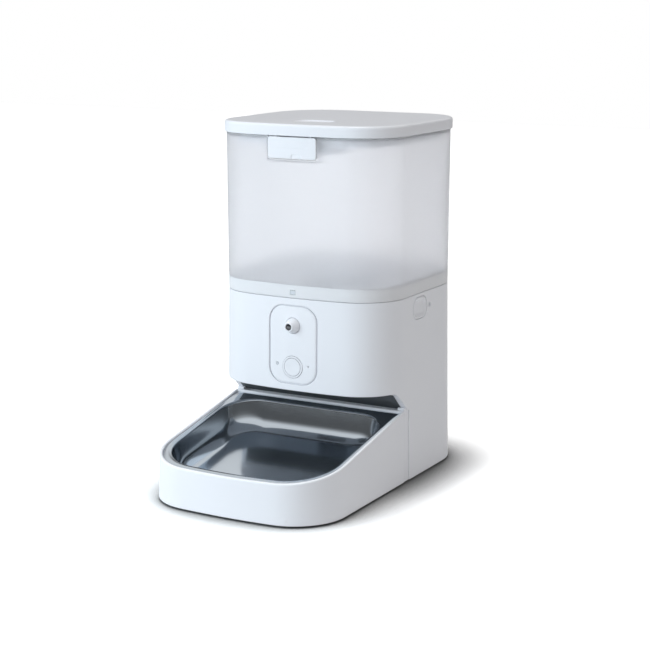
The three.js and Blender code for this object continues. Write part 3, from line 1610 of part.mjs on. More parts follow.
// Basin of the bowl, hung from the slope by lift
function basin(inset, lift) {
  const shape = planShape(bowlPlan, inset);
  const stations = basinShares.map(([depthShare, share]) => [-depthShare * bowl.depth, share]).reverse();
  const lip = [overrun, 1];
  const straight = drafted(shape, [...stations, lip], bowlMidY);
  const slopeMove = (vertex) => {
    vertex[2] += traySlopeZ(vertex[1]) + lift;
  };
  return straight.warp(slopeMove);
}

function steelBowl() {
  const flangeDrop = tray.pocketDrop - gap;
  const topDrop = flangeDrop - bowl.thickness;
  const flange = trayBlock(tray.rimWidth + bowl.flangeGap)
    .intersect(aboveSlope(flangeDrop))
    .subtract(aboveSlope(topDrop));
  const outer = basin(0, -flangeDrop).subtract(aboveSlope(topDrop));
  return flange.add(outer).subtract(basin(bowl.thickness, bowl.thickness - flangeDrop));
}

function buildTray() {
  const group = addGroup("tray_assembly");
  addPiece(group, "tray_shell", trayShell(), "white");
  addPiece(group, "steel_bowl", steelBowl(), "steel");
  const footHeight = plate.lowZ + foot.pocketDepth - gap;
  const shape = turned([[0, 0], [trayFoot.radius, 0], [trayFoot.radius, footHeight], [0, footHeight]]);
  trayFootPlaces.forEach(([x, y], i) => addPiece(group, `tray_foot_${i + 1}`, shape, "rubber", [x, y, 0]));
}

buildLid();
buildTank();
buildHousing();
buildFront();
buildRelease();
buildDrive();
buildRear();
buildTray();

export default root;
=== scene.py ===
import bmesh
import bpy
import json
import math
from mathutils import Matrix, Vector


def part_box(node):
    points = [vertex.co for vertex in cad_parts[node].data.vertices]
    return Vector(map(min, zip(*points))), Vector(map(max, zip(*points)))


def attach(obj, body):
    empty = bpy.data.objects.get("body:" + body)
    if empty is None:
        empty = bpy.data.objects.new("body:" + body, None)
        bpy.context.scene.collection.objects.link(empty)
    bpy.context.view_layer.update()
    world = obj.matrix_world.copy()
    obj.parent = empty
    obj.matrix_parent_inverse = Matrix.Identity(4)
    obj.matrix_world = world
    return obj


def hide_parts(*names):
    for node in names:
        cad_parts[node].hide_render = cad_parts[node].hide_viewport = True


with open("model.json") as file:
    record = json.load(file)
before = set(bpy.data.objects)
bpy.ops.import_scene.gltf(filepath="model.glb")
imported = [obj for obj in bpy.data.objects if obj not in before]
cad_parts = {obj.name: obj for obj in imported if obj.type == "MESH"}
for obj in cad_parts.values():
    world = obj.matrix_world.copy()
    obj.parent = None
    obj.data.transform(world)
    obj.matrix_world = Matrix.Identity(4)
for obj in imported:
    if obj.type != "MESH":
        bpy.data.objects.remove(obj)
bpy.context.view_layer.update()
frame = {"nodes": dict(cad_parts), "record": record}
cadNodes = frame["nodes"]
slotOf = {part["node"]: part["material_slot"] for part in frame["record"]["subparts"]}
bodyOf = {node: body for body, members in frame["record"]["behaviour"]["bodies"].items() for node in members}
metre = 0.001  # pieces are drawn in millimetres and handed over in metres
replacedNodes = set()


def toMillimetres(node):
    low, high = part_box(node)
    return low / metre, high / metre


# Direction to a place that is given in degrees round the object and above it
def wayTo(place):
    azimuth, elevation = math.radians(place["azimuth"]), math.radians(place["elevation"])
    flat = math.cos(elevation)
    return Vector((math.sin(azimuth) * flat, -math.cos(azimuth) * flat, math.sin(elevation)))


# Camera, at the photograph's angle
viewpoint = {"azimuth": 29.03, "elevation": 11.63, "aimY": 59.96, "distance": 1587.64, "moveRight": -14.02,
             "moveUp": 132.7, "focalLength": 88.94, "sensorWidth": 36.0}


def makeCamera():
    azimuth = math.radians(viewpoint["azimuth"])
    back = wayTo(viewpoint)
    right = Vector((math.cos(azimuth), math.sin(azimuth), 0))
    up = back.cross(right)
    data = bpy.data.cameras.new("photoCamera")
    data.lens = viewpoint["focalLength"]
    data.sensor_width = viewpoint["sensorWidth"]
    camera = bpy.data.objects.new("photoCamera", data)
    bpy.context.scene.collection.objects.link(camera)
    place = back * viewpoint["distance"] + right * viewpoint["moveRight"] + up * viewpoint["moveUp"]
    camera.location = (place + Vector((0, viewpoint["aimY"], 0))) * metre
    camera.rotation_mode = "QUATERNION"
    camera.rotation_quaternion = (-back).to_track_quat("-Z", "Y")
    bpy.context.scene.camera = camera


makeCamera()
bpy.context.scene.view_settings.view_transform = "Standard"
print("camera placed")


# Node helpers: values may be numbers, colours or the sockets they come from
def setInputs(tree, node, values):
    for key, value in values.items():
        if isinstance(value, bpy.types.NodeSocket):
            tree.links.new(value, node.inputs[key])
        else:
            node.inputs[key].default_value = value
    return node


def addNode(tree, kind, values, **settings):
    node = tree.nodes.new("ShaderNode" + kind)
    for key, value in settings.items():
        setattr(node, key, value)
    return setInputs(tree, node, values)


def maths(tree, operation, *values, **settings):
    return addNode(tree, "Math", dict(enumerate(values)), operation=operation, **settings).outputs[0]


def noise(tree, coordinate, scale, detail, roughness, distortion=0.0):
    values = {"Vector": coordinate, "Scale": scale, "Detail": detail, "Roughness": roughness, "Distortion": distortion}
    return addNode(tree, "TexNoise", values).outputs["Fac"]


def startGroup(name, inputs, outputs):
    group = bpy.data.node_groups.new(name, "ShaderNodeTree")
    for label, kind, value in inputs:
        group.interface.new_socket(name=label, in_out="INPUT", socket_type="NodeSocket" + kind).default_value = value
    for label, kind in outputs:
        group.interface.new_socket(name=label, in_out="OUTPUT", socket_type="NodeSocket" + kind)
    return group, group.nodes.new("NodeGroupInput").outputs, group.nodes.new("NodeGroupOutput")


# Fine texture that a spark-eroded mould leaves on plastic
def makeMouldGrain():
    group, given, put = startGroup(
        "mouldGrain", [("Coordinate", "Vector", (0, 0, 0)), ("Grain Size", "Float", 0.0004),
                       ("Wave Size", "Float", 0.03), ("Wave Share", "Float", 0.4)], [("Height", "Float")])
    grain = noise(group, given["Coordinate"], maths(group, "DIVIDE", 1.0, given["Grain Size"]), 2.0, 0.6)
    wave = noise(group, given["Coordinate"], maths(group, "DIVIDE", 1.0, given["Wave Size"]), 1.0, 0.4)
    waved = maths(group, "MULTIPLY", wave, given["Wave Share"])
    setInputs(group, put, {"Height": maths(group, "ADD", grain, waved)})
    return group


# Slow drift of a colour and of gloss over a surface, with faint handling marks
def makeSurfaceDrift():
    group, given, put = startGroup(
        "surfaceDrift",
        [("Coordinate", "Vector", (0, 0, 0)), ("Colour", "Color", (0.8, 0.8, 0.8, 1)), ("Darkening", "Float", 0.03),
         ("Roughness", "Float", 0.35), ("Gloss Change", "Float", 0.06), ("Patch Size", "Float", 0.06)],
        [("Colour", "Color"), ("Roughness", "Float")])
    scale = maths(group, "DIVIDE", 1.0, given["Patch Size"])
    patches = noise(group, given["Coordinate"], scale, 3.0, 0.55, 0.3)
    share = maths(group, "SUBTRACT", 1.0, maths(group, "MULTIPLY", patches, given["Darkening"]))
    tint = addNode(group, "VectorMath", {0: given["Colour"], "Scale": share}, operation="SCALE").outputs["Vector"]
    smears = noise(group, given["Coordinate"], maths(group, "MULTIPLY", scale, 6.0), 5.0, 0.7, 1.2)
    marks = addNode(group, "MapRange", {"Value": smears, "From Min": 0.55, "From Max": 0.8}).outputs["Result"]
    centred = maths(group, "SUBTRACT", patches, 0.5)
    both = maths(group, "ADD", maths(group, "MULTIPLY", marks, 0.5), centred)
    change = maths(group, "MULTIPLY", both, given["Gloss Change"])
    rough = maths(group, "ADD", given["Roughness"], change, use_clamp=True)
    setInputs(group, put, {"Colour": tint, "Roughness": rough})
    return group


# Fine lines of a drawing die or a polishing wheel, long in one direction
def makePolishLines():
    group, given, put = startGroup(
        "polishLines", [("Coordinate", "Vector", (0, 0, 0)), ("Stretch", "Vector", (1, 1, 1)),
                        ("Line Scale", "Float", 900.0)], [("Height", "Float")])
    stretched = addNode(group, "VectorMath", {0: given["Coordinate"], 1: given["Stretch"]}, operation="MULTIPLY")
    lines = noise(group, stretched.outputs["Vector"], given["Line Scale"], 3.0, 0.6)
    crisp = addNode(group, "MapRange", {"Value": lines, "From Min": 0.3, "From Max": 0.7}).outputs["Result"]
    setInputs(group, put, {"Height": crisp})
    return group


mouldGrain = makeMouldGrain()
surfaceDrift = makeSurfaceDrift()
polishLines = makePolishLines()
reliefDistance = {"grain": 0.0003, "lines": 0.0002, "tracks": 0.00005}
finishes = {}


# base: colour, roughness, darkening, change of gloss, size of patches; relief: group, its values, strength, distance
# A paint function gives its own colour, and the height where the relief has no group
def makeFinish(name, base, plain, relief=None, paint=None):
    material = bpy.data.materials.new(name)
    material.use_nodes = True
    tree = material.node_tree
    coordinate = addNode(tree, "TexCoord", {}).outputs["Object"]
    colour, height = paint(tree, coordinate) if paint else ((*base[0], 1), None)
    drift = addNode(tree, "Group", {
        "Coordinate": coordinate, "Colour": colour, "Roughness": base[1], "Darkening": base[2],
        "Gloss Change": base[3], "Patch Size": base[4]}, node_tree=surfaceDrift)
    values = {"Base Color": drift.outputs["Colour"], "Roughness": drift.outputs["Roughness"], **plain}
    if relief:
        group, given, strength, distance = relief
        if group:
            height = addNode(tree, "Group", {"Coordinate": coordinate, **given}, node_tree=group).outputs["Height"]
        bump = addNode(tree, "Bump", {"Strength": strength, "Distance": distance, "Height": height})
        values["Normal"] = bump.outputs["Normal"]
    setInputs(tree, tree.nodes["Principled BSDF"], values)
    finishes[name] = material


# Moulded plastics, rubbers and silicones: base, then depth and size of the grain, and sheen
mouldings = {
    "white_shell": ((0.84, 0.845, 0.88), 0.36, 0.015, 0.08, 0.09, 0.05, 0.00045, 0.0),
    "white_inner": ((0.79, 0.80, 0.82), 0.5, 0.03, 0.1, 0.05, 0.1, 0.0006, 0.0),
    "grey_gears": ((0.42, 0.44, 0.47), 0.48, 0.12, 0.12, 0.02, 0.12, 0.0005, 0.0),
    "rotor_silicone": ((0.60, 0.62, 0.64), 0.62, 0.08, 0.1, 0.03, 0.16, 0.0008, 0.25),
    "lid_seal": ((0.70, 0.72, 0.74), 0.58, 0.05, 0.1, 0.04, 0.12, 0.0007, 0.2),
    "dark_plastic": ((0.022, 0.022, 0.026), 0.42, 0.3, 0.15, 0.02, 0.16, 0.0005, 0.0),
    # painted shade: this dark strip under the overhang stands in for the shade there
    "painted_shade_strip": ((0.1, 0.11, 0.12), 0.3, 0.2, 0.12, 0.05, 0.08, 0.0005, 0.0),
    "foot_rubber": ((0.055, 0.055, 0.06), 0.78, 0.35, 0.15, 0.01, 0.3, 0.0007, 0.3),
}
# Bare and plated metals: base, then depth, stretch and scale of the polishing lines
metals = {
    "steel_bowl": ((0.50, 0.55, 0.60), 0.12, 0.06, 0.06, 0.05, 0.015, (0.02, 1, 1), 1500.0),
    "steel_hardware": ((0.50, 0.51, 0.53), 0.26, 0.1, 0.12, 0.01, 0.06, (1, 1, 0.05), 2500.0),
    "zinc_screws": ((0.56, 0.57, 0.60), 0.34, 0.2, 0.2, 0.004, 0.1, (1, 1, 0.2), 2500.0),
    "motor_metal": ((0.45, 0.46, 0.48), 0.36, 0.12, 0.15, 0.02, 0.08, (1, 1, 0.03), 1800.0),
    "brass_pinion": ((0.68, 0.51, 0.23), 0.3, 0.2, 0.15, 0.008, 0.08, (1, 1, 0.1), 2500.0),
}
# Frosted polypropylene of the food tank, and how much light it lets through, also where it is thick
frosting = {"base": ((0.885, 0.888, 0.908), 0.36, 0.02, 0.08, 0.07), "grain": 0.0005, "depth": 0.06,
            "bending": 1.25, "passes": {"frosted_tank": 0.82, "thickFrost": 0.15}}
# Dark coated glass, and the milky light pipe: base, then plain values
clearFinishes = {
    "camera_glass": ((0.012, 0.013, 0.02), 0.05, 0.3, 0.03, 0.003,
                     {"Coat Weight": 1.0, "Coat Roughness": 0.02, "IOR": 1.6}),
    "light_pipe": ((0.62, 0.65, 0.69), 0.18, 0.1, 0.06, 0.002, {"IOR": 1.5, "Coat Weight": 0.4}),
}
# Lacquered circuit board with copper tracks and pads under the lacquer
board = {"base": ((0.02, 0.13, 0.06), 0.35, 0.1, 0.1, 0.01), "track": (0.05, 0.24, 0.11), "pad": (0.62, 0.60, 0.55),
         "pitch": 0.0042, "tracksPerCell": 5.0, "trackStart": 0.6, "padReach": 0.22, "depth": 0.3, "coat": 0.3}


def paintBoard(tree, coordinate):
    def cells(feature, share):
        return addNode(tree, "TexVoronoi", {"Vector": coordinate, "Scale": share / board["pitch"]},
                       distance="MANHATTAN", feature=feature).outputs["Distance"]

    waves = maths(tree, "FRACT", maths(tree, "MULTIPLY", cells("F2", 0.5), board["tracksPerCell"]))
    tracks = maths(tree, "GREATER_THAN", waves, board["trackStart"])
    pads = maths(tree, "LESS_THAN", cells("F1", 1), board["padReach"])
    colour = (*board["base"][0], 1)
    for mask, shown in ((tracks, board["track"]), (pads, board["pad"])):
        colour = addNode(tree, "Mix", {0: mask, 6: colour, 7: (*shown, 1)}, data_type="RGBA").outputs[2]
    return colour, tracks


for name, (*base, depth, grain, sheen) in mouldings.items():
    makeFinish(name, base, {"IOR": 1.49, "Sheen Weight": sheen},
               (mouldGrain, {"Grain Size": grain}, depth, reliefDistance["grain"]))
for name, (*base, depth, stretch, lines) in metals.items():
    makeFinish(name, base, {"Metallic": 1.0},
               (polishLines, {"Stretch": stretch, "Line Scale": lines}, depth, reliefDistance["lines"]))
for name, passes in frosting["passes"].items():
    makeFinish(name, frosting["base"], {"Transmission Weight": passes, "IOR": frosting["bending"]},
               (mouldGrain, {"Grain Size": frosting["grain"]}, frosting["depth"], reliefDistance["grain"]))
for name, (*base, plain) in clearFinishes.items():
    makeFinish(name, base, plain)
makeFinish("circuit_board", board["base"], {"Coat Weight": board["coat"]},
           (None, {}, board["depth"], reliefDistance["tracks"]), paintBoard)
print("finishes made:", len(finishes))


# Mesh helpers, in millimetres
def toPiece(name, bm):
    bmesh.ops.recalc_face_normals(bm, faces=bm.faces)
    mesh = bpy.data.meshes.new(name)
    bm.to_mesh(mesh)
    bm.free()
    piece = bpy.data.objects.new(name, mesh)
    bpy.context.scene.collection.objects.link(piece)
    return piece


# Skin through rings of points; a closed loft joins its last ring to its first one
def loft(name, rings, closed=False):
    bm = bmesh.new()
    rows = [[bm.verts.new(point) for point in ring] for ring in rings]
    pairs = list(zip(rows, rows[1:]))
    if closed:
        pairs.append((rows[-1], rows[0]))
    else:
        bm.faces.new(rows[0])
        bm.faces.new(rows[-1])
    for low, high in pairs:
        for i in range(len(low)):
            j = (i + 1) % len(low)
            bm.faces.new((low[i], low[j], high[j], high[i]))
    return toPiece(name, bm)


# Loft along a line of (inset, height), with ringAt giving the outline there
def skin(name, ringAt, line, closed=False):
    return loft(name, [ringAt(inset, z) for inset, z in line], closed)


# Points of a line whose corners are rounded where a third number gives how far
def softLine(points, closed=False, steps=6):
    line = []
    count = len(points)
    for i, point in enumerate(points):
        here = Vector(point[:2])
        reach = point[2] if len(point) > 2 else 0
        if not reach or (not closed and i in (0, count - 1)):
            line.append(here)
            continue
        before = Vector(points[i - 1][:2]) - here
        after = Vector(points[(i + 1) % count][:2]) - here
        start = here + before.normalized() * min(reach, before.length * 0.49)
        end = here + after.normalized() * min(reach, after.length * 0.49)
        for step in range(steps + 1):
            t = step / steps
            line.append(start * (1 - t) ** 2 + here * 2 * t * (1 - t) + end * t * t)
    return line


# Outline seen from above: bowed front, two front corners, straight sides, two back corners
outlineSteps = {"face": 24, "corner": 16, "side": 12, "back": 10}
quarter = math.pi / 2


def arcPoints(centreX, centreY, radius, start, end, steps, last=True):
    count = steps + 1 if last else steps
    angles = [start + (end - start) * i / steps for i in range(count)]
    return [Vector((centreX + radius * math.cos(a), centreY + radius * math.sin(a))) for a in angles]


def between(start, end, steps):
    return [start.lerp(end, i / steps) for i in range(1, steps)]


def planOutline(plan, inset=0.0):
    halfWidth, frontY, backY = plan["halfWidth"] - inset, plan["frontY"] + inset, plan["backY"] - inset
    frontRadius, backRadius = max(plan["frontRadius"] - inset, 0.3), max(plan["backRadius"] - inset, 0.3)
    faceRadius = plan["faceRadius"] - inset
    side = halfWidth - frontRadius
    reach = faceRadius - frontRadius
    faceY = frontY + faceRadius
    cornerY = faceY - math.sqrt(reach * reach - side * side)
    lean = math.asin(side / reach)
    corner = outlineSteps["corner"]
    face = arcPoints(0, faceY, faceRadius, -quarter - lean, -quarter + lean, outlineSteps["face"], last=False)
    frontRight = arcPoints(side, cornerY, frontRadius, -quarter + lean, 0, corner)
    backRight = arcPoints(halfWidth - backRadius, backY - backRadius, backRadius, 0, quarter, corner)
    backLeft = arcPoints(backRadius - halfWidth, backY - backRadius, backRadius, quarter, math.pi, corner)
    frontLeft = arcPoints(-side, cornerY, frontRadius, math.pi, 3 * quarter - lean, corner, last=False)
    right = between(frontRight[-1], backRight[0], outlineSteps["side"])
    back = between(backRight[-1], backLeft[0], outlineSteps["back"])
    left = between(backLeft[-1], frontLeft[0], outlineSteps["side"])
    return face + frontRight + right + backRight + back + backLeft + left + frontLeft


# Plan outline shrunk towards a place on the middle line, at a height
def planRing(plan, inset, share, pivotY, z):
    return [Vector((p.x * share, pivotY + (p.y - pivotY) * share, z)) for p in planOutline(plan, inset)]


def roundedRectangle(width, height, radius, centre=(0, 0), cornerSteps=8, edgeSteps=1):
    right = centre[0] + width / 2 - radius
    left = centre[0] - width / 2 + radius
    high = centre[1] + height / 2 - radius
    low = centre[1] - height / 2 + radius
    corners = [(right, low, -quarter, 0), (right, high, 0, quarter), (left, high, quarter, math.pi),
               (left, low, math.pi, 3 * quarter)]
    arcs = [arcPoints(x, y, radius, start, end, cornerSteps) for x, y, start, end in corners]
    outline = []
    for arc, after in zip(arcs, arcs[1:] + arcs[:1]):
        outline += arc + between(arc[-1], after[0], edgeSteps)
    return outline


# Puts a flat point and its place along an axis into space
def inSpace(axis, point, along):
    if axis == "x":
        return Vector((along, point[0], point[1]))
    if axis == "y":
        return Vector((point[0], along, point[1]))
    return Vector((point[0], point[1], along))


def prism(name, axis, outline, start, end):
    return loft(name, [[inSpace(axis, p, along) for p in outline] for along in (start, end)])


# Rounded rectangle through stations of (place along the axis, how much it grows there)
def roundedPrism(name, axis, size, radius, centre, stations, cornerSteps=8):
    rings = []
    for along, grow in stations:
        ring = roundedRectangle(size[0] + 2 * grow, size[1] + 2 * grow, radius + grow, centre, cornerSteps)
        rings.append([inSpace(axis, p, along) for p in ring])
    return loft(name, rings)


def block(name, low, high, soft=0.0):
    bm = bmesh.new()
    bmesh.ops.create_cube(bm, size=1)
    low, high = Vector(low), Vector(high)
    size = high - low
    for vert in bm.verts:
        vert.co = low + Vector((vert.co[i] + 0.5) * size[i] for i in range(3))
    if soft:
        bmesh.ops.bevel(bm, geom=bm.edges[:], offset=soft, segments=3, profile=0.5, affect="EDGES")
    return toPiece(name, bm)


# Block that reaches from near to far on one side of the middle; low and high are (y, z)
def sideBlock(name, way, near, far, low, high, soft=0.0):
    left, right = sorted((way * near, way * far))
    return block(name, (left, *low), (right, *high), soft)


# Round piece about an axis through centre; profile points are (radius, place along the axis)
def turned(name, axis, centre, profile, closed=False, segments=64):
    bm = bmesh.new()
    rows = []
    for radius, along in profile:
        row = []
        for i in range(1 if radius < 1e-6 else segments):
            angle = 2 * math.pi * i / segments
            flat = (centre[0] + radius * math.cos(angle), centre[1] + radius * math.sin(angle))
            row.append(bm.verts.new(inSpace(axis, flat, along)))
        rows.append(row)
    pairs = list(zip(rows, rows[1:]))
    if closed:
        pairs.append((rows[-1], rows[0]))
    for low, high in pairs:
        for i in range(segments):
            j = (i + 1) % segments
            corners = [low[i % len(low)], low[j % len(low)], high[j % len(high)], high[i % len(high)]]
            unique = list(dict.fromkeys(corners))
            if len(unique) > 2:
                bm.faces.new(unique)
    return toPiece(name, bm)


# Round cutter; mouth gives the place of the surface, where the hole's edge is rounded
def pit(name, axis, centre, radius, start, end, mouth=None, segments=48):
    rounded = [(radius, start)]
    if mouth is not None:
        way = 1 if end > start else -1
        rounded = [(radius + 1.2, start), (radius + 0.6, mouth - way * 0.1), (radius + 0.3, mouth + way * 0.02),
                   (radius + 0.1, mouth + way * 0.15), (radius, mouth + way * 0.4)]
    return turned(name, axis, centre, [(0, start), *rounded, (radius, end), (0, end)], segments=segments)


def joined(name, pieces):
    bm = bmesh.new()
    for piece in pieces:
        bm.from_mesh(piece.data)
        bpy.data.objects.remove(piece)
    return toPiece(name, bm)


# Exact Boolean steps, one after another; each tool is used up
def carve(piece, *steps):
    for operation, tool in steps:
        modifier = piece.modifiers.new(operation, "BOOLEAN")
        modifier.operation = operation
        modifier.solver = "EXACT"
        modifier.object = tool
    bpy.context.view_layer.update()
    shown = piece.evaluated_get(bpy.context.evaluated_depsgraph_get())
    mesh = bpy.data.meshes.new_from_object(shown)
    piece.modifiers.clear()
    piece.data = mesh
    for _, tool in steps:
        bpy.data.objects.remove(tool)
    return piece


# Angles in degrees from which an edge counts as sharp
sharpFrom = {"softened": 30, "shaded": 32, "cadShaded": 35, "cadSoftened": 40}
weldReach = 0.004


# Rounds the sharp outer edges whose middle the test accepts
def softenEdges(piece, width, test):
    bm = bmesh.new()
    bm.from_mesh(piece.data)
    bmesh.ops.remove_doubles(bm, verts=bm.verts, dist=weldReach)
    bm.normal_update()
    chosen = []
    angle = math.radians(sharpFrom["softened"])
    for edge in bm.edges:
        sharp = len(edge.link_faces) == 2 and edge.is_convex and edge.calc_face_angle(0) >= angle
        if sharp and test((edge.verts[0].co + edge.verts[1].co) / 2):
            chosen.append(edge)
    bmesh.ops.bevel(bm, geom=chosen, offset=width, segments=3, profile=0.5, affect="EDGES", clamp_overlap=False)
    bm.to_mesh(piece.data)
    bm.free()


def shadeSmooth(piece, angle):
    for polygon in piece.data.polygons:
        polygon.use_smooth = True
    piece.data.set_sharp_from_angle(angle=math.radians(angle))


# Real size, smooth shading with sharp edges, and the finish
def finishPiece(piece, finish):
    piece.data.transform(Matrix.Scale(metre, 4))
    shadeSmooth(piece, sharpFrom["shaded"])
    weighted = piece.modifiers.new("evenNormals", "WEIGHTED_NORMAL")
    weighted.keep_sharp = True
    weighted.weight = 60
    piece.data.materials.clear()
    piece.data.materials.append(finishes[finish])


# Hands a finished piece over: finish, body and the CAD node that it stands for
def standFor(piece, *nodes):
    slot = slotOf[nodes[0]]
    finishPiece(piece, slot)
    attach(piece, bodyOf[nodes[0]])
    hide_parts(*nodes)
    replacedNodes.update(nodes)


# Master sizes of the body, read from the frame where the frame has them
lidLow, lidHigh = toMillimetres("lid_shell")
housingLow, housingHigh = toMillimetres("housing_shell")
tankLow, tankHigh = toMillimetres("food_tank")
trayLow, trayHigh = toMillimetres("tray_shell")
bodyPlan = {"halfWidth": lidHigh.x, "frontY": lidLow.y, "backY": lidHigh.y, "frontRadius": 46.5, "backRadius": 50,
            "faceRadius": 470}
bodySizes = {"gap": 0.3, "seamHalfWidth": 90.9}
middleY = (bodyPlan["frontY"] + bodyPlan["backY"]) / 2
gap, seamHalf = bodySizes["gap"], bodySizes["seamHalfWidth"]
floorZ, seamZ, lidSeamZ = housingLow.z, housingHigh.z, tankHigh.z
tankFloorZ = seamZ + gap


# Width at a height as a share of the lid's; the housing and the tank both taper
def taperShare(z, lowZ, lowHalf, highZ, highHalf):
    rise = (z - lowZ) / (highZ - lowZ)
    return (lowHalf + (highHalf - lowHalf) * rise) / bodyPlan["halfWidth"]


def housingShare(z):
    return taperShare(z, floorZ, housingHigh.x, seamZ, seamHalf)


def tankShare(z):
    return taperShare(z, tankFloorZ, seamHalf, lidSeamZ, tankHigh.x)


def housingRing(inset, z):
    return planRing(bodyPlan, inset, housingShare(z), middleY, z)


def tankRing(inset, z):
    return planRing(bodyPlan, inset, tankShare(z), middleY, z)


def lidRing(inset, z):
    return [Vector((p.x, p.y, z)) for p in planOutline(bodyPlan, inset)]


# Places on the outer faces of the housing, and of the tank's front
def frontAt(x, z, shareAt=housingShare):
    radius = bodyPlan["faceRadius"] * shareAt(z)
    centreY = middleY + (bodyPlan["frontY"] + bodyPlan["faceRadius"] - middleY) * shareAt(z)
    return centreY - math.sqrt(radius * radius - x * x)


def backAt(z):
    return middleY + (bodyPlan["backY"] - middleY) * housingShare(z)


def sideAt(z):
    return housingShare(z) * bodyPlan["halfWidth"]


# Plate that follows a surface: rings of (inset, depth), filled towards the middle on both faces
def followingPlate(name, size, radius, centre, stations, place, fillSteps=6):
    limit = min(size) / 2
    front = stations[0]
    back = stations[-1]
    fills = [front[0] + (limit - front[0]) * (1 - i / fillSteps) * 0.98 for i in range(fillSteps)]
    ends = [back[0] + (limit - back[0]) * (i + 1) / fillSteps * 0.98 for i in range(fillSteps)]
    rings = []
    for inset, depth in [(f, front[1]) for f in fills] + list(stations) + [(e, back[1]) for e in ends]:
        corner = max(radius - inset, 0.05)
        outline = roundedRectangle(size[0] - 2 * inset, size[1] - 2 * inset, corner, centre, 8, 12)
        rings.append([place(p.x, p.y, depth) for p in outline])
    return loft(name, rings)


# Lid, with ears for the latch pin and hooks for the rear edge
lid = {"bandLowZ": 325.3, "topZ": lidHigh.z, "bandWall": 2.2, "innerTopZ": 333.6, "edgeSoft": 3.2, "skirtOuter": 13.9,
       "skirtInner": 15.9, "skirtLowZ": 315.8, "lipOuter": 12.6, "lipHeight": 1.6, "recess": (40, 26),
       "recessRadius": 12, "recessFromFront": 42, "recessDepth": 1.4}
latchPin = {"centre": (-28.137, 320.5), "radius": 0.7, "hole": 1.0, "beyondBarrel": 2.4}
ears = {"innerX": 16.6, "outerX": 19.0, "frontY": -28.653, "backY": -26.137, "lowZ": 318.9}
hooks = {"x": 34.0, "halfWidth": 5.0, "plateY": 147.776, "thickness": 2.1, "lowZ": 317.0, "noseReach": 2.0,
         "noseHeight": 2.8, "slot": (11.2, 5.1), "slotZ": 319.25, "notchHalf": 6.5}


def makeLid():
    inner, outer, lip, wall = lid["skirtInner"], lid["skirtOuter"], lid["lipOuter"], lid["bandWall"]
    low, skirtLow, roof, top = lid["bandLowZ"], lid["skirtLowZ"], lid["innerTopZ"], lid["topZ"]
    lipHigh = skirtLow + lid["lipHeight"]
    shell = skin("lidShell", lidRing, softLine([
        (inner, roof), (inner, skirtLow, 0.6), (lip, skirtLow, 0.6), (lip, lipHigh, 0.5), (outer, lipHigh, 0.2),
        (outer, roof, 0.4), (wall, roof, 0.6), (wall, low, 0.5), (0, low, 0.7), (0, top, lid["edgeSoft"]), (7, top),
    ]))
    bed = top - lid["recessDepth"]
    stations = [(bed, -1.3), (bed + 0.08, -0.9), (bed + 0.3, -0.45), (bed + 0.7, -0.2), (top - 0.35, 0.0),
                (top - 0.12, 0.15), (top, 0.45), (top + 0.5, 1.2)]
    centre = (0, bodyPlan["frontY"] + lid["recessFromFront"])
    carve(shell, ("DIFFERENCE", roundedPrism("recess", "z", lid["recess"], lid["recessRadius"], centre, stations, 12)))
    parts = [shell]
    for side in (-1, 1):
        left, right = sorted((side * ears["innerX"], side * ears["outerX"]))
        ear = block("ear", (left, ears["frontY"], ears["lowZ"]), (right, ears["backY"], roof + gap), 0.35)
        hole = pit("earHole", "x", latchPin["centre"], latchPin["hole"], left - 1, right + 1, segments=24)
        parts.append(carve(ear, ("DIFFERENCE", hole)))
    plateY, hookLow = hooks["plateY"], hooks["lowZ"]
    for side in (-1, 1):
        left, right = side * hooks["x"] - hooks["halfWidth"], side * hooks["x"] + hooks["halfWidth"]
        parts.append(block("arm", (left, plateY - hooks["thickness"], hookLow), (right, plateY, roof + gap), 0.4))
        parts.append(block("nose", (left, plateY - 0.6, hookLow + gap),
                           (right, plateY + hooks["noseReach"], hookLow + gap + hooks["noseHeight"]), 0.6))
    standFor(joined("lidShell", parts), "lid_shell")


seal = {"outer": 12.3, "thickness": 1.3, "lowZ": 317.7, "height": 5.6, "bead": 0.45}


def makeSeal():
    low, high = seal["lowZ"], seal["lowZ"] + seal["height"]
    outer, inner, bead = seal["outer"], seal["outer"] + seal["thickness"], seal["outer"] + seal["bead"]
    third = seal["height"] / 3
    line = softLine([
        (inner, low, 0.3), (outer, low, 0.4), (outer, low + third * 0.7, 0.4), (bead, low + third, 0.3),
        (bead, low + 2 * third, 0.3), (outer, low + third * 2.3, 0.4), (outer, high, 0.4), (inner, high, 0.3),
    ], closed=True, steps=3)
    standFor(skin("lidSeal", lidRing, line, closed=True), "lid_gasket")


# Latch tab, in front of the tank's rim
latch = {"halfWidth": 25.0, "lowZ": 305.0, "highZ": 324.3, "proud": 1.2, "backInset": 1.4, "corner": 2.0,
         "edge": 0.55, "barrelRadius": 1.7, "barrelHalf": 16.0, "noseHalf": 20.0, "noseLowZ": 308.5,
         "noseHeight": 1.8, "noseReach": 2.1, "gripX": 5.0, "gripHalf": 5.5, "gripLowZ": 304.2, "gripHeight": 4.6,
         "gripDepth": 0.9, "reliefX": (16.3, 19.3)}


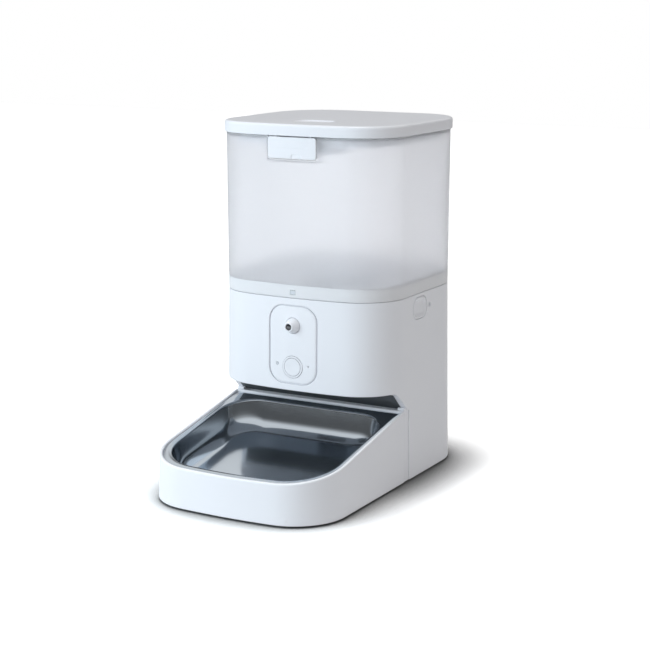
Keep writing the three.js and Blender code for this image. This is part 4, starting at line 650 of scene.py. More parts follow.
def makeLatch():
    def place(x, z, depth):
        return Vector((x, frontAt(x, z, tankShare) + depth, z))

    centreZ = (latch["lowZ"] + latch["highZ"]) / 2
    size = (2 * latch["halfWidth"], latch["highZ"] - latch["lowZ"])
    edge, front, back = latch["edge"], -latch["proud"], latch["backInset"]
    stations = [(edge, front), (edge * 0.5, front + edge * 0.07), (edge * 0.15, front + edge * 0.35),
                (0, front + edge), (0, back - 0.4), (0.15, back - 0.12), (0.4, back)]
    plate = followingPlate("latchPlate", size, latch["corner"], (0, centreZ), stations, place)
    height, deep = latch["gripHeight"], latch["gripDepth"]
    gripZ = latch["gripLowZ"] + height / 2
    faceY = frontAt(0, gripZ, tankShare) + front
    stations = [(faceY - 1, 0.9), (faceY, 0.35), (faceY + 0.2, 0), (faceY + deep * 0.8, -0.5), (faceY + deep, -1.3)]
    grip = roundedPrism("gripTool", "y", (2 * latch["gripHalf"], height), height / 2 - 0.02, (latch["gripX"], gripZ),
                        stations)
    backY = frontAt(0, lidSeamZ, tankShare) + back
    reliefs = [sideBlock("relief", side, *latch["reliefX"], (backY - 0.8, latchPin["centre"][1] + 1.0),
                         (backY + 4, latch["highZ"] + 3)) for side in (-1, 1)]
    carve(plate, ("DIFFERENCE", grip), ("DIFFERENCE", joined("reliefs", reliefs)))
    half, radius, hole = latch["barrelHalf"], latch["barrelRadius"], latchPin["hole"]
    line = softLine([(hole, -half), (radius, -half, 0.3), (radius, half, 0.3), (hole, half)], closed=True, steps=3)
    barrel = turned("barrel", "x", latchPin["centre"], line, closed=True, segments=32)
    nose = block("nose", (-latch["noseHalf"], backY - 0.5, latch["noseLowZ"]),
                 (latch["noseHalf"], backY + latch["noseReach"], latch["noseLowZ"] + latch["noseHeight"]), 0.5)
    standFor(joined("latchTab", [plate, barrel, nose]), "lid_latch")


def makePin():
    half, radius = latch["barrelHalf"] + gap + latchPin["beyondBarrel"], latchPin["radius"]
    line = softLine([(0, -half), (radius, -half, 0.25), (radius, half, 0.25), (0, half)], steps=3)
    standFor(turned("latchPin", "x", latchPin["centre"], line, segments=24), "latch_pin")


makeLid()
makeSeal()
makeLatch()
makePin()
print("lid pieces made")


# Food tank; it is denser below denseHeight, and denseRings lie around that line
tank = {"wall": 2.5, "rimInset": 10.5, "rimThickness": 2.5, "footInset": 4.8, "footThickness": 2.0,
        "spigotOuter": 3.0, "spigotDrop": 2.7, "funnelRise": 9.5, "funnelThickness": 2.5, "funnelLand": 3.0,
        "funnelStart": 0.985, "outletRadius": 38.0, "collarWall": 2.5, "collarLowZ": tankLow.z, "edge": 0.9,
        "denseHeight": 12.4, "denseRings": (12.3, 14.0), "backInset": 1.5}
pocket = {"halfWidth": 25.5, "depth": 5.0, "wall": 2.2, "lowZ": 304.0, "ribHalf": 20.0, "ribLowZ": 310.6,
          "ribHeight": 1.6, "ribDepth": 1.2}
levelWindow = {"width": 5.0, "height": 4.0, "depth": 1.2, "aboveSeam": 3.2}
sideCatch = {"innerX": 84.4, "outerX": 86.4, "y": 50.526, "halfWidth": 6.0, "height": 1.5}


def funnelRing(share, z):
    return planRing(bodyPlan, tank["wall"] / 2, share, middleY, z)


def roundRing(radius, z):
    ring = []
    for p in planOutline(bodyPlan, 0):
        flat = Vector((p.x, p.y - middleY)).normalized() * radius
        ring.append(Vector((flat.x, middleY + flat.y, z)))
    return ring


def tankRings():
    low, high, wall, rim, foot = tankFloorZ, lidSeamZ, tank["wall"], tank["rimInset"], tank["footInset"]
    rimLow, footHigh, spigotLow = high - tank["rimThickness"], low + tank["footThickness"], low - tank["spigotDrop"]
    rise, thick, edge = tank["funnelRise"], tank["funnelThickness"], tank["edge"]
    funnelHigh = low + rise
    start = seamHalf / bodyPlan["halfWidth"] * tank["funnelStart"]
    land = (tank["outletRadius"] + tank["funnelLand"]) / bodyPlan["halfWidth"]
    outside = softLine([
        (wall, funnelHigh - 0.3), (wall, footHigh, 0.5), (foot, footHigh, 0.3), (foot, spigotLow, 0.3),
        (tank["spigotOuter"], spigotLow, 0.5), (tank["spigotOuter"], low, 0.3), (0, low, edge),
        *((0, low + height) for height in tank["denseRings"]), (0, high, edge), (rim, high, 0.6), (rim, rimLow, 0.6),
        (wall, rimLow, 1.0), (wall, funnelHigh + thick),
    ], steps=4)
    rings = [tankRing(inset, z) for inset, z in outside]
    rings += [funnelRing(start + (land - start) * i / 8, funnelHigh + thick - rise * i / 8) for i in range(1, 9)]
    radius, drop, collarLow = tank["outletRadius"], low + thick - 0.4, tank["collarLowZ"]
    collar = radius + tank["collarWall"]
    rings += [roundRing(*place) for place in (
        (radius + 0.6, drop), (radius, drop - 0.6), (radius, collarLow + 0.4), (radius + 0.4, collarLow),
        (collar - 0.4, collarLow), (collar, collarLow + 0.4), (collar, low - 0.6), (collar + 0.6, low))]
    return rings + [funnelRing(land + 0.012 + (start - land - 0.012) * i / 8, low + rise * i / 8) for i in range(8)]


def makeTank():
    low, high, wall = tankFloorZ, lidSeamZ, tank["wall"]
    shell = loft("foodTank", tankRings(), closed=True)
    topY = frontAt(0, high, tankShare)
    room, depth, side, pocketLow = pocket["halfWidth"], pocket["depth"], pocket["wall"], pocket["lowZ"]
    pad = block("pad", (-room - side, topY + wall / 2, pocketLow - side),
                (room + side, topY + depth + side, high - 0.02))
    softenEdges(pad, 0.8, lambda p: p.y > topY + depth or p.z < pocketLow)
    hollow = roundedPrism("pocketTool", "y", (2 * room, 2 * (high + 4 - pocketLow)), 1.6, (0, high + 4),
                          [(topY - 4, 0), (topY + depth - 0.5, 0), (topY + depth, -0.5)])
    rib = block("rib", (-pocket["ribHalf"], topY + depth - pocket["ribDepth"], pocket["ribLowZ"]),
                (pocket["ribHalf"], topY + depth + gap, pocket["ribLowZ"] + pocket["ribHeight"]))
    backY = bodyPlan["backY"] - tank["backInset"]
    stations = [(backY - wall - gap, 0), (backY - 0.3, 0), (backY, 0.3), (backY + 3, 0.6)]
    spigotLow, notchLow = low - tank["spigotDrop"], high - tank["rimThickness"] - gap
    cuts, notches, catches = [], [], []
    for way in (-1, 1):
        x, half = way * hooks["x"], hooks["notchHalf"]
        cuts.append(roundedPrism("hookSlot", "y", hooks["slot"], 0.8, (x, hooks["slotZ"]), stations))
        notches.append(block("notch", (x - half, backY - tank["rimInset"] - 3, notchLow),
                             (x + half, backY - wall, high + 3)))
        catchY, half = sideCatch["y"], sideCatch["halfWidth"]
        catches.append(sideBlock("catch", way, sideCatch["innerX"], sideCatch["outerX"] + gap,
                                 (catchY - half, spigotLow + 0.001), (catchY + half, spigotLow + sideCatch["height"])))
    windowLow, half = low + levelWindow["aboveSeam"], levelWindow["width"] / 2 + gap
    windowY = frontAt(0, windowLow, tankShare)
    window = block("windowTool", (-half, windowY - 3, windowLow - gap),
                   (half, windowY + levelWindow["depth"] + gap, windowLow + levelWindow["height"] + gap))
    carve(shell, ("UNION", pad), ("UNION", joined("catches", catches)), ("DIFFERENCE", hollow), ("UNION", rib),
          ("DIFFERENCE", joined("hookSlots", cuts)), ("DIFFERENCE", joined("notches", notches)), ("DIFFERENCE", window))
    standFor(shell, "food_tank")
    # less light passes through the foot and the funnel floor
    shell.data.materials.append(finishes["thickFrost"])
    footZ = (low + tank["denseHeight"]) * metre
    funnelZ = (low + tank["funnelRise"] + tank["funnelThickness"] + 1) * metre
    for polygon in shell.data.polygons:
        height = polygon.center.z
        if height < footZ or (polygon.normal.z > 0.2 and height < funnelZ):
            polygon.material_index = 1


makeTank()
print("tank made")


# Housing
housing = {"wall": 2.6, "deckZ": 166.0, "deckThickness": 2.5, "overhangZ": 89.5, "columnY": 26.976,
           "cheekLowY": 23.776, "cheekLowZ": 70.0, "cheekHighY": 2.976, "edge": 1.0, "topEdge": 0.9, "panelEdge": 0.9,
           "finInset": 1.2, "finInnerX": 84.3, "finFrontY": 18.576, "finEdge": 0.5, "finTopZ": 80, "cupHole": 45.6,
           "softBelowZ": 120, "coreZ": (90, 176), "beyond": 98}
panel = {"width": 51.0, "height": 74.5, "radius": 15.5, "midZ": 132.75, "groove": 0.8, "thickness": 1.6,
         "recess": 1.9, "padMargin": 5.0, "padDepth": 4.4}
lensPlace = {"z": 151.0, "bezelRadius": 7.3, "bezelDepth": 6.0, "proud": 8.0, "tipRadius": 4.2, "lensRadius": 2.8,
             "lensInset": 0.5, "lensThickness": 1.2}
feed = {"z": 112.0, "ringRadius": 10.4, "ringWall": 1.7, "ringDepth": 4.4, "proud": 0.4, "buttonRadius": 8.4,
        "buttonProud": 0.6, "buttonDepth": 3.0, "dish": 0.5, "dishShare": 0.86, "stemRadius": 2.0}
pips = {"x": 16.5, "z": 114.0, "lightRadius": 1.3, "lightGap": 0.15, "soundRadius": 0.65}
release = {"length": 29.0, "height": 20.6, "y": 50.526, "z": 163.0, "corner": 9.0, "thickness": 3.2, "dish": 1.9,
           "dishInset": 2.4, "lean": 0.8, "edge": 0.95, "stemLength": 7.0, "roomX": 75.6, "dotPlace": (71.5, 162.5),
           "dotRadius": 2.1, "dotDepth": 2.1, "armX": (80.1, 82.4), "armZ": (159, 177.5), "armHalf": 5,
           "noseX": (80.1, 84.1), "noseLowZ": 176.0}
speakerGrille = {"z": 115.0, "slots": 5, "size": (24.0, 2.0), "pitch": 4.0}
inletPlace = {"x": 30.0, "z": 30.0, "width": 14.0, "height": 11.0, "depth": 14.0}
# Openings as (near, far) from the middle and (low, high): food outlet, tray tongues, exits of the battery door
openings = {"outletHalf": 16, "outletY": (-24.024, -1.024), "tongueX": (34.5, 55.5), "tongueZ": (8, 12.5),
            "doorExits": ((56.3, 3.7, 5.7), (53.3, -4, 4.5)), "doorDepth": 9}


# Space under the overhang, seen from the side
def underhang(name, grow):
    front = bodyPlan["frontY"] - 4
    column, cheekLow, top = housing["columnY"] + grow, housing["cheekLowZ"] + grow, housing["overhangZ"] + grow
    line = softLine([(front, -4), (column, -4), (column, cheekLow, 1.5), (housing["cheekLowY"] + grow, cheekLow, 1.5),
                     (housing["cheekHighY"] + grow, top, 3.0), (front, top)])
    return prism(name, "x", line, -housing["beyond"], housing["beyond"])


def makeHousing():
    low, high, wall, deck = floorZ, seamZ, housing["wall"], housing["deckZ"]
    recessZ = deck + housing["deckThickness"]
    line = softLine([(3, low), (0, low, 0.8), (0, high, housing["topEdge"]), (wall, high, 0.6), (wall, recessZ, 0.8),
                     (5, recessZ)])
    shell = skin("housingShell", housingRing, line)
    carve(shell, ("DIFFERENCE", underhang("underhangTool", 0)))
    softenEdges(shell, housing["edge"], lambda p: p.z < housing["softBelowZ"])
    inner = skin("innerTool", housingRing, [(wall, -2), (wall, deck)])
    carve(inner, ("DIFFERENCE", underhang("innerUnderhang", wall)))
    width, height, radius, midZ = panel["width"], panel["height"], panel["radius"], panel["midZ"]
    groove, padY = panel["groove"], frontAt(0, midZ)
    outline = roundedRectangle(width + 2 * panel["padMargin"], height - groove, radius, (0, midZ + groove))
    pad = prism("pad", "y", outline, padY + wall / 2, padY + panel["padDepth"])
    carve(shell, ("DIFFERENCE", inner), ("UNION", pad))
    recess = prism("recess", "y", roundedRectangle(width, height, radius, (0, midZ), 12, 12), padY - 6, padY + 40)
    carve(recess, ("DIFFERENCE", skin("core", housingRing, [(panel["recess"], z) for z in housing["coreZ"]])))
    carve(shell, ("DIFFERENCE", recess))
    softenEdges(shell, housing["panelEdge"],
                lambda p: p.y < padY + 1.6 and abs(p.x) < width / 2 + 1 and p.z > housing["overhangZ"] + 3)
    holes = frontHoles(padY + panel["padDepth"] + 3, gap) + sideHoles() + restHoles()
    carve(shell, ("DIFFERENCE", joined("openings", holes)))
    top, finY = housing["cheekLowZ"] + wall, housing["finFrontY"]
    fins = skin("fins", housingRing, [(housing["finInset"], low), (housing["finInset"], top)])
    slices = [sideBlock("slice", way, housing["finInnerX"], housing["beyond"], (finY, 0),
                        (housing["columnY"] + wall, housing["finTopZ"])) for way in (-1, 1)]
    carve(fins, ("INTERSECT", joined("slices", slices)))
    softenEdges(fins, housing["finEdge"], lambda p: p.y < finY + 0.5)
    standFor(joined("housingShell", [shell, fins]), "housing_shell")


# Holes for camera, button, light and sound, in the housing and in the panel that covers it
def frontHoles(endY, lightGap, rounded=False):
    x, z = pips["x"], pips["z"]
    places = [(0, lensPlace["z"], lensPlace["bezelRadius"] + gap), (0, feed["z"], feed["ringRadius"] + gap),
              (-x, z, pips["lightRadius"] + lightGap), (x, z, pips["soundRadius"])]
    return [pit("frontHole", "y", (x, z), radius, bodyPlan["frontY"] - 3, endY, frontAt(x, z) if rounded else None)
            for x, z, radius in places]


def sideHoles():
    tools = []
    y, z, length, deck = release["y"], release["z"], release["length"], housing["deckZ"]
    face, dotFace = sideAt(z), sideAt(release["dotPlace"][1])
    backX = face - release["thickness"] - release["stemLength"]
    for way in (-1, 1):
        stations = [(way * along, grow) for along, grow in (
            (backX, gap), (face - 0.5, gap), (face - 0.15, gap + 0.08), (face, gap + 0.3), (face + 4, gap + 2.5))]
        hole = roundedPrism("hole", "x", (length, release["height"]), release["corner"], (y, z), stations, 12)
        room = sideBlock("room", way, release["roomX"], seamHalf - housing["wall"], (y - length / 2, deck - gap),
                         (y + length / 2, seamZ + 1))
        tools.append(carve(hole, ("UNION", room)))
        tools.append(pit("dot", "x", release["dotPlace"], release["dotRadius"], way * (dotFace + 3),
                         way * (dotFace - release["dotDepth"]), way * dotFace))
    return tools


def restHoles():
    wall, deck, overhang, column = housing["wall"], housing["deckZ"], housing["overhangZ"], housing["columnY"]
    half, (outletFront, outletBack) = openings["outletHalf"], openings["outletY"]
    tools = [pit("cup", "z", (0, middleY), housing["cupHole"], deck - 3, deck + 6),
             block("outlet", (-half, outletFront, overhang - 3), (half, outletBack, overhang + wall + 3))]
    low, high = openings["tongueZ"]
    tools += [sideBlock("tongueSlot", way, *openings["tongueX"], (column - 3, low), (column + wall + 3, high))
              for way in (-1, 1)]

    # rounded opening in the back, from the place start to the surface
    def rearSlot(size, radius, x, z, start, flare, steps):
        face = backAt(z)
        stations = [(start, 0), (face - 0.4, 0), (face - 0.12, 0.08), (face, 0.3), (face + 3, flare)]
        return roundedPrism("rearSlot", "y", size, radius, (x, z), stations, steps)

    z, count = speakerGrille["z"], speakerGrille["slots"]
    for i in range(count):
        slotZ = z + (i - (count - 1) / 2) * speakerGrille["pitch"]
        tools.append(rearSlot(speakerGrille["size"], 0.95, 0, slotZ, backAt(z) - wall - 3, 1.5, 6))
    x, z = inletPlace["x"], inletPlace["z"]
    size = (inletPlace["width"] + 2 * gap, inletPlace["height"] + 2 * gap)
    tools.append(rearSlot(size, 0.6, x, z, backAt(z) - inletPlace["depth"], 2, 4))
    rear = bodyPlan["backY"] + 3
    wide, narrow = (block("doorExit", (-half, rear - openings["doorDepth"], low), (half, rear, high))
                    for half, low, high in openings["doorExits"])
    tools.append(carve(wide, ("UNION", narrow)))
    return tools


# Painted shade: a dark strip on the slanted face under the overhang, standing in for the deep shade there
paintedShadeStrip = {"halfWidth": 86.5, "thickness": 0.7, "margin": 0.6, "edge": 0.3, "sunk": 0.2}


def makePaintedShadeStrip():
    low = Vector((housing["cheekLowY"], housing["cheekLowZ"]))
    high = Vector((housing["cheekHighY"], housing["overhangZ"]))
    way = (high - low).normalized()
    out = Vector((-way.y, -way.x))
    start, end = low + way * paintedShadeStrip["margin"], high - way * paintedShadeStrip["margin"]
    thick, edge, sunk = paintedShadeStrip["thickness"], paintedShadeStrip["edge"], paintedShadeStrip["sunk"]
    line = softLine([tuple(start - out * sunk), (*(start + out * thick), edge), (*(end + out * thick), edge),
                     tuple(end - out * sunk)], steps=4)
    strip = prism("paintedShadeStrip", "x", line, -paintedShadeStrip["halfWidth"], paintedShadeStrip["halfWidth"])
    finishPiece(strip, "painted_shade_strip")
    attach(strip, "base")


makeHousing()
makePaintedShadeStrip()
print("housing made")


# Front panel with camera, button, light and sound hole
def makePanel():
    size = (panel["width"] - 2 * panel["groove"], panel["height"] - 2 * panel["groove"])
    stations = [(2.2, 0.0), (1.4, 0.06), (0.75, 0.25), (0.25, 0.6), (0, 1.05), (0, panel["thickness"])]
    plate = followingPlate("frontPanel", size, panel["radius"] - panel["groove"], (0, panel["midZ"]), stations,
                           lambda x, z, depth: Vector((x, frontAt(x, z) + depth, z)), 10)
    tools = frontHoles(bodyPlan["frontY"] + 9, pips["lightGap"], rounded=True)
    carve(plate, ("DIFFERENCE", joined("panelTools", tools)))
    standFor(plate, "front_panel")


def makeCameraPieces():
    centre = (0, lensPlace["z"])
    face = frontAt(*centre)
    tip, end = face - lensPlace["proud"], face + lensPlace["bezelDepth"]
    outer, radius = lensPlace["bezelRadius"], lensPlace["lensRadius"]
    line = softLine([(outer, end), (outer, face, 0.5), (lensPlace["tipRadius"], tip, 0.5), (radius + gap, tip, 0.35),
                     (radius + gap, end)], closed=True, steps=5)
    standFor(turned("cameraBezel", "y", centre, line, closed=True), "camera_bezel")
    front = tip + lensPlace["lensInset"]
    back = front + lensPlace["lensThickness"]
    dome = [(0, front), (radius * 0.35, front + 0.03), (radius * 0.65, front + 0.12), (radius * 0.88, front + 0.27),
            (radius, front + 0.45), (radius, back), (0, back)]
    standFor(turned("cameraLens", "y", centre, dome), "camera_lens")


def makeFeedButton():
    centre = (0, feed["z"])
    face = frontAt(*centre)
    outer, inner = feed["ringRadius"], feed["ringRadius"] - feed["ringWall"]
    front, end = face - feed["proud"], face + feed["ringDepth"]
    ring = softLine([(outer, end), (outer, front, 0.5), (inner, front, 0.5), (inner, end)], closed=True, steps=5)
    standFor(turned("buttonRing", "y", centre, ring, closed=True), "button_ring")
    radius, stem = feed["buttonRadius"], feed["stemRadius"]
    front, back = face - feed["buttonProud"], face + feed["buttonDepth"]
    stemEnd = toMillimetres("feed_button")[1].y
    dished = radius * feed["dishShare"]
    line = [Vector((dished * i / 10, front + feed["dish"] * (1 - (i / 10) ** 2))) for i in range(10)]
    line += softLine([(dished, front), (radius, front + 0.05, 0.5), (radius, back, 0.3), (stem, back),
                      (stem, stemEnd, 0.2), (0, stemEnd)], steps=5)
    standFor(turned("feedButton", "y", centre, line), "feed_button")


def makeStatusLight():
    face, end = frontAt(pips["x"], pips["z"]), toMillimetres("status_light")[1].y
    radius = pips["lightRadius"]
    line = [(0, face - 0.05), (radius * 0.5, face - 0.02), (radius * 0.85, face + 0.08), (radius, face + 0.3),
            (radius, end), (0, end)]
    standFor(turned("statusLight", "y", (-pips["x"], pips["z"]), line, segments=32), "status_light")


makePanel()
makeCameraPieces()
makeFeedButton()
makeStatusLight()
print("front panel made")


# Release buttons in both sides; the dish is deepest at its upper front end, where a finger presses
def makeReleaseButton(way, name, node):
    y, z, length, height, thick = (release[key] for key in ("y", "z", "length", "height", "thickness"))

    def place(placeY, placeZ, depth):
        across = (placeZ - z) / height - (placeY - y) / length
        lean = 1 + release["lean"] * across if depth > 0.6 else 1
        return Vector((way * (sideAt(placeZ) - depth * lean), placeY, placeZ))

    edge, dish, rim, corner, half = (release[key] for key in ("edge", "dish", "dishInset", "corner", "armHalf"))
    stations = [(rim + 2.6, dish), (rim + 1.8, dish * 0.93), (rim + 0.9, dish * 0.62), (rim + 0.2, dish * 0.2),
                (rim - 0.4, 0.03), (rim - 0.9, 0.0), (edge + 0.4, 0.0), (edge * 0.5, edge * 0.16), (0, edge),
                (0, thick)]
    cap = followingPlate("cap", (length, height), corner, (y, z), stations, place, 5)
    back = sideAt(z) - thick
    stem = roundedPrism("stem", "x", (length - 8, height - 8), corner - 4, (y, z),
                        [(way * (back - release["stemLength"]), 0), (way * (back + gap), 0)])
    armLow, armHigh = release["armZ"]
    arm = sideBlock("arm", way, *release["armX"], (y - half, armLow), (y + half, armHigh), 0.3)
    nose = sideBlock("nose", way, *release["noseX"], (y - half, release["noseLowZ"]), (y + half, armHigh), 0.3)
    standFor(joined(name, [cap, stem, arm, nose]), node)


makeReleaseButton(1, "releaseButtonRight", "release_button_right")
makeReleaseButton(-1, "releaseButtonLeft", "release_button_left")
print("release buttons made")


# Tray and the bowl in it
trayPlan = {"halfWidth": trayHigh.x, "frontY": trayLow.y, "backY": 18.276, "frontRadius": 50, "backRadius": 3,
            "faceRadius": 580}
tray = {"frontHeight": 38.0, "rearHeight": 70.6, "topInset": 1.1, "wall": 2.4, "rimWidth": 3.0, "rimEdge": 1.3,
        "pocketDrop": 3.0, "ledge": 2.4, "tongueX": 45.0, "tongueHalf": 10.0, "tongueLowZ": 8.5, "tongueHeight": 3.5,
        "tongueLength": 14.0, "bossRadius": 9.0, "bossLowZ": 2.4, "bossHeight": 6.2, "padRadius": 7.3, "padZ": 3.7}
bowlPlan = {"halfWidth": trayPlan["halfWidth"] - 8.8, "frontY": trayPlan["frontY"] + 12.4,
            "backY": trayPlan["backY"] - 12.8, "frontRadius": 44, "backRadius": 30, "faceRadius": 560}
slopeRise = (tray["rearHeight"] - tray["frontHeight"]) / (trayPlan["backY"] - trayPlan["frontY"])


def slopeZ(y):
    return tray["frontHeight"] + slopeRise * (y - trayPlan["frontY"])


def trayShare(z):
    reach = tray["rearHeight"] + 3 - floorZ
    return 1 - tray["topInset"] / trayPlan["halfWidth"] * (z - floorZ) / reach


def trayRing(inset, z):
    return planRing(trayPlan, inset, trayShare(z), trayPlan["backY"], z)


# Ring on the tray's sloped top, lowered by drop
def slopeRing(inset, drop):
    ring = []
    for p in planOutline(trayPlan, inset):
        z = slopeZ(p.y) - drop
        for _ in range(3):
            share = trayShare(z)
            y = trayPlan["backY"] + (p.y - trayPlan["backY"]) * share
            z = slopeZ(y) - drop
        ring.append(Vector((p.x * share, y, z)))
    return ring


def bowlRing(inset, drop, share=1.0):
    centreY = (bowlPlan["frontY"] + bowlPlan["backY"]) / 2
    return [Vector((p.x, p.y, slopeZ(p.y) - drop)) for p in planRing(bowlPlan, inset, share, centreY, 0)]


def makeTray():
    low, wall, drop, rimWidth, rimEdge = floorZ, tray["wall"], tray["pocketDrop"], tray["rimWidth"], tray["rimEdge"]
    foot = softLine([(wall, low + 6), (wall, low, 0.6), (0, low, 0.9), (0, low + 8)], steps=5)
    rim = softLine([(0, 6), (0, 0, rimEdge), (rimWidth, 0, rimEdge), (rimWidth, drop, 0.5), (rimWidth + 2, drop)],
                   steps=6)
    ledge = drop + tray["ledge"]
    rings = [trayRing(inset, z) for inset, z in foot] + [slopeRing(inset, h) for inset, h in rim]
    rings += [bowlRing(-1.2, drop), bowlRing(-1.0, drop + 0.2), bowlRing(-1.0, ledge - 0.2), bowlRing(-1.2, ledge),
              slopeRing(wall + 0.5, ledge), slopeRing(wall, ledge + 0.5)]
    parts = [loft("trayShell", rings, closed=True)]
    x, half, tongueLow, backY = tray["tongueX"], tray["tongueHalf"], tray["tongueLowZ"], trayPlan["backY"]
    parts += [sideBlock("tongue", way, x - half, x + half, (backY - wall / 2, tongueLow),
                        (backY + tray["tongueLength"], tongueLow + tray["tongueHeight"]), 0.6) for way in (-1, 1)]
    radius, bossLow, padRadius, padZ = tray["bossRadius"], tray["bossLowZ"], tray["padRadius"], tray["padZ"]
    bossHigh = bossLow + tray["bossHeight"]
    boss = softLine([(0, padZ), (padRadius, padZ), (padRadius, bossLow, 0.2), (radius, bossLow, 0.4),
                     (radius, bossHigh, 0.6), (0, bossHigh)], steps=3)
    for i in range(1, 5):
        footLow, footHigh = toMillimetres("tray_foot_%d" % i)
        centre = ((footLow.x + footHigh.x) / 2, (footLow.y + footHigh.y) / 2)
        parts.append(turned("boss", "z", centre, boss, segments=48))
    standFor(joined("trayShell", parts), "tray_shell")


bowl = {
    "thickness": 1.0, "flangeInset": 3.4, "flangeDrop": 2.7, "flangeEdge": 0.45, "lipRadius": 1.2, "flangeCrown": 0.95,
    # depth under the flange and share of the mouth's size, down the outside of the basin
    "basin": [(1.2, 1.0), (4, 0.9935), (8, 0.984), (12, 0.973), (15, 0.963), (17.5, 0.952), (19.6, 0.938),
              (21.4, 0.921), (23.0, 0.9), (24.3, 0.876), (25.4, 0.848), (26.2, 0.818), (26.7, 0.787), (26.95, 0.75)],
    "floorShare": 0.3,
}


def makeBowl():
    drop, thick, half, radius = bowl["flangeDrop"], bowl["thickness"], bowlPlan["halfWidth"], bowl["lipRadius"]
    turns = [quarter * i / 6 for i in range(7)]
    outside = [(half + radius - radius * math.sin(a), radius * (1 - math.cos(a))) for a in turns]
    outside += [(half * share, depth) for depth, share in bowl["basin"][1:]]
    inside = []
    for i, (width, depth) in enumerate(outside):
        before = Vector(outside[max(i - 1, 0)])
        after = Vector(outside[min(i + 1, len(outside) - 1)])
        way = (after - before).normalized()
        inside.append((width - way.y * thick, depth + way.x * thick))
    floor = outside[-1][1] + 0.05
    rings = [bowlRing(0, drop + floor, bowl["floorShare"])]
    rings += [bowlRing(0, drop + depth, width / half) for width, depth in reversed(outside)]
    edge, outer, top = bowl["flangeEdge"], bowl["flangeInset"], drop - thick
    rings += [slopeRing(outer + edge, drop), slopeRing(outer + 0.1, drop - 0.15), slopeRing(outer, drop - 0.5),
              slopeRing(outer + 0.1, top + 0.15), slopeRing(outer + edge, top)]
    # the flange is pressed a little round, which gives it streaks of light along its length
    flat, mouth = rings[-1], bowlRing(0, drop + inside[0][1], inside[0][0] / half)
    for t in (0.08, 0.18, 0.3, 0.42, 0.54, 0.66, 0.78, 0.9):
        rise = Vector((0, 0, bowl["flangeCrown"] * math.sin(math.pi * t)))
        rings.append([a.lerp(b, t) + rise for a, b in zip(flat, mouth)])
    rings += [bowlRing(0, drop + depth, width / half) for width, depth in inside]
    rings.append(bowlRing(0, drop + floor - thick, bowl["floorShare"]))
    standFor(loft("steelBowl", rings), "steel_bowl")


makeTray()
makeBowl()
print("tray and bowl made")


# CAD nodes that keep their shape get a fine rounded edge and their own finish
edgeWidths = {"drive_gear": 0.25, "motor_pinion": 0.2, "control_board": 0.15, "tank_level_window": 0.2, "others": 0.3}


def finishCadNodes():
    for name, node in cadNodes.items():
        if name in replacedNodes:
            continue
        material = finishes["light_pipe" if name == "tank_level_window" else slotOf[name]]
        if not node.material_slots:
            node.data.materials.append(material)
        for slot in node.material_slots:
            slot.material = material
        shadeSmooth(node, sharpFrom["cadShaded"])
        bevel = node.modifiers.new("softEdges", "BEVEL")
        bevel.width = edgeWidths.get(name, edgeWidths["others"]) * metre
        bevel.segments = 2
        bevel.limit_method = "ANGLE"
        bevel.angle_limit = math.radians(sharpFrom["cadSoftened"])
        bevel.harden_normals = False


finishCadNodes()
print("other nodes finished")


# Floor and daylight; the floor's shadow is deepened close to the feeder
studio = {"floorSize": 8.0, "floorColour": 0.56, "floorSeen": 1.8, "floorMirrored": 1.0, "contactReach": 0.075,
          "contactFrom": 0.52, "contactShade": 0.1, "skyLight": 0.25, "skySeen": 1.0, "skyMirroredLow": 0.14,
          "mirroredFrom": 0.2, "mirroredTo": 0.6, "aimHeight": 0.15}
# Place round the object and above it in degrees, colour, and strength; size and distance are in metres
lamps = {
    "keyBox": {"azimuth": -31.0, "elevation": 16.0, "strength": 9.0, "size": (0.8, 0.7), "distance": 1.05,
               "colour": (0.80, 0.92, 1.0)},
    "topLamp": {"azimuth": -80.0, "elevation": 86.0, "strength": 1.25, "spread": 12.0, "mirrored": True},
    "sideFill": {"azimuth": 80.0, "elevation": 12.0, "strength": 0.78, "spread": 60.0},
}


# One value for light that only falls, and others where camera, mirrored and passing rays meet the surface
def byRay(tree, fallen, seen, mirrored):
    path = addNode(tree, "LightPath", {})
    value = fallen
    for ray, shown in (("Is Glossy Ray", mirrored), ("Is Transmission Ray", seen), ("Is Camera Ray", seen)):
        value = addNode(tree, "Mix", {0: path.outputs[ray], 2: value, 3: shown}).outputs[0]
    return value


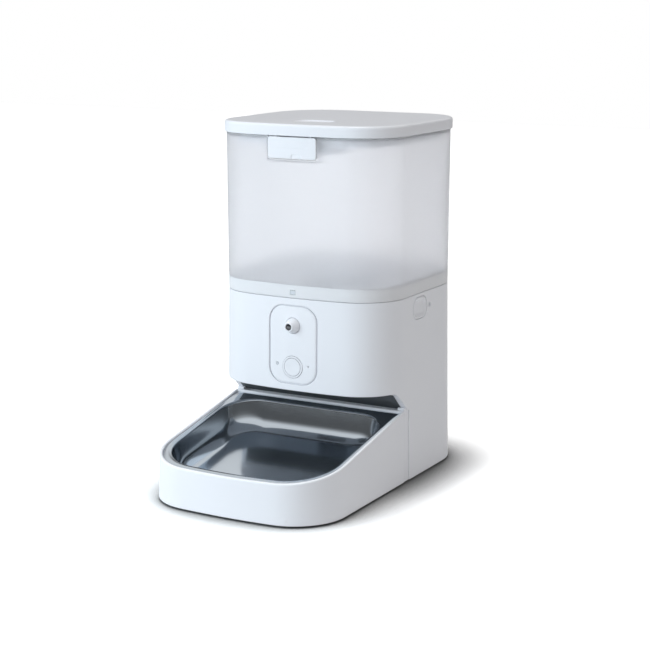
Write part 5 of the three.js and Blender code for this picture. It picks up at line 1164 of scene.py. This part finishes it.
def makeLamp(name, look):
    data = bpy.data.lights.new(name, "AREA" if "size" in look else "SUN")
    data.energy = look["strength"]
    data.color = look.get("colour", (1.0, 1.0, 1.0))
    if "size" in look:
        data.shape = "RECTANGLE"
        data.size, data.size_y = look["size"]
    else:
        data.angle = math.radians(look["spread"])
    lamp = bpy.data.objects.new(name, data)
    bpy.context.scene.collection.objects.link(lamp)
    toLamp = wayTo(look)
    lamp.location = toLamp * look.get("distance", 2) + Vector((0, 0, studio["aimHeight"]))
    lamp.visible_camera = False
    lamp.visible_glossy = look.get("mirrored", False)
    lamp.rotation_mode = "QUATERNION"
    lamp.rotation_quaternion = toLamp.to_track_quat("Z", "Y")


def makeFloor():
    bm = bmesh.new()
    bmesh.ops.create_grid(bm, x_segments=1, y_segments=1, size=studio["floorSize"] / 2)
    floor = toPiece("floor", bm)
    material = bpy.data.materials.new("floorCard")
    material.use_nodes = True
    tree = material.node_tree
    nearness = addNode(tree, "AmbientOcclusion", {"Distance": studio["contactReach"]}).outputs["AO"]
    bright = studio["floorSeen"]
    shaded = addNode(tree, "MapRange", {
        "Value": nearness, "From Min": studio["contactFrom"], "From Max": 1.0,
        "To Min": bright * studio["contactShade"], "To Max": bright}).outputs[0]
    value = byRay(tree, studio["floorColour"], shaded, studio["floorMirrored"])
    grey = addNode(tree, "CombineColor", {0: value, 1: value, 2: value}).outputs[0]
    setInputs(tree, tree.nodes["Principled BSDF"], {"Base Color": grey, "Roughness": 0.9, "Specular IOR Level": 0.1})
    floor.data.materials.append(material)


def makeDaylight():
    world = bpy.data.worlds.new("daylight")
    bpy.context.scene.world = world
    world.use_nodes = True
    tree = world.node_tree
    direction = addNode(tree, "TexCoord", {}).outputs["Generated"]
    height = addNode(tree, "SeparateXYZ", {0: direction}).outputs["Z"]
    mirrored = addNode(tree, "MapRange", {
        "Value": height, "From Min": studio["mirroredFrom"], "From Max": studio["mirroredTo"],
        "To Min": studio["skyMirroredLow"], "To Max": studio["skySeen"],
    }, interpolation_type="SMOOTHSTEP").outputs["Result"]
    strength = byRay(tree, studio["skyLight"], studio["skySeen"], mirrored)
    setInputs(tree, tree.nodes["Background"], {"Color": (1, 1, 1, 1), "Strength": strength})


makeFloor()
makeDaylight()
for name, look in lamps.items():
    makeLamp(name, look)
print("stage made")
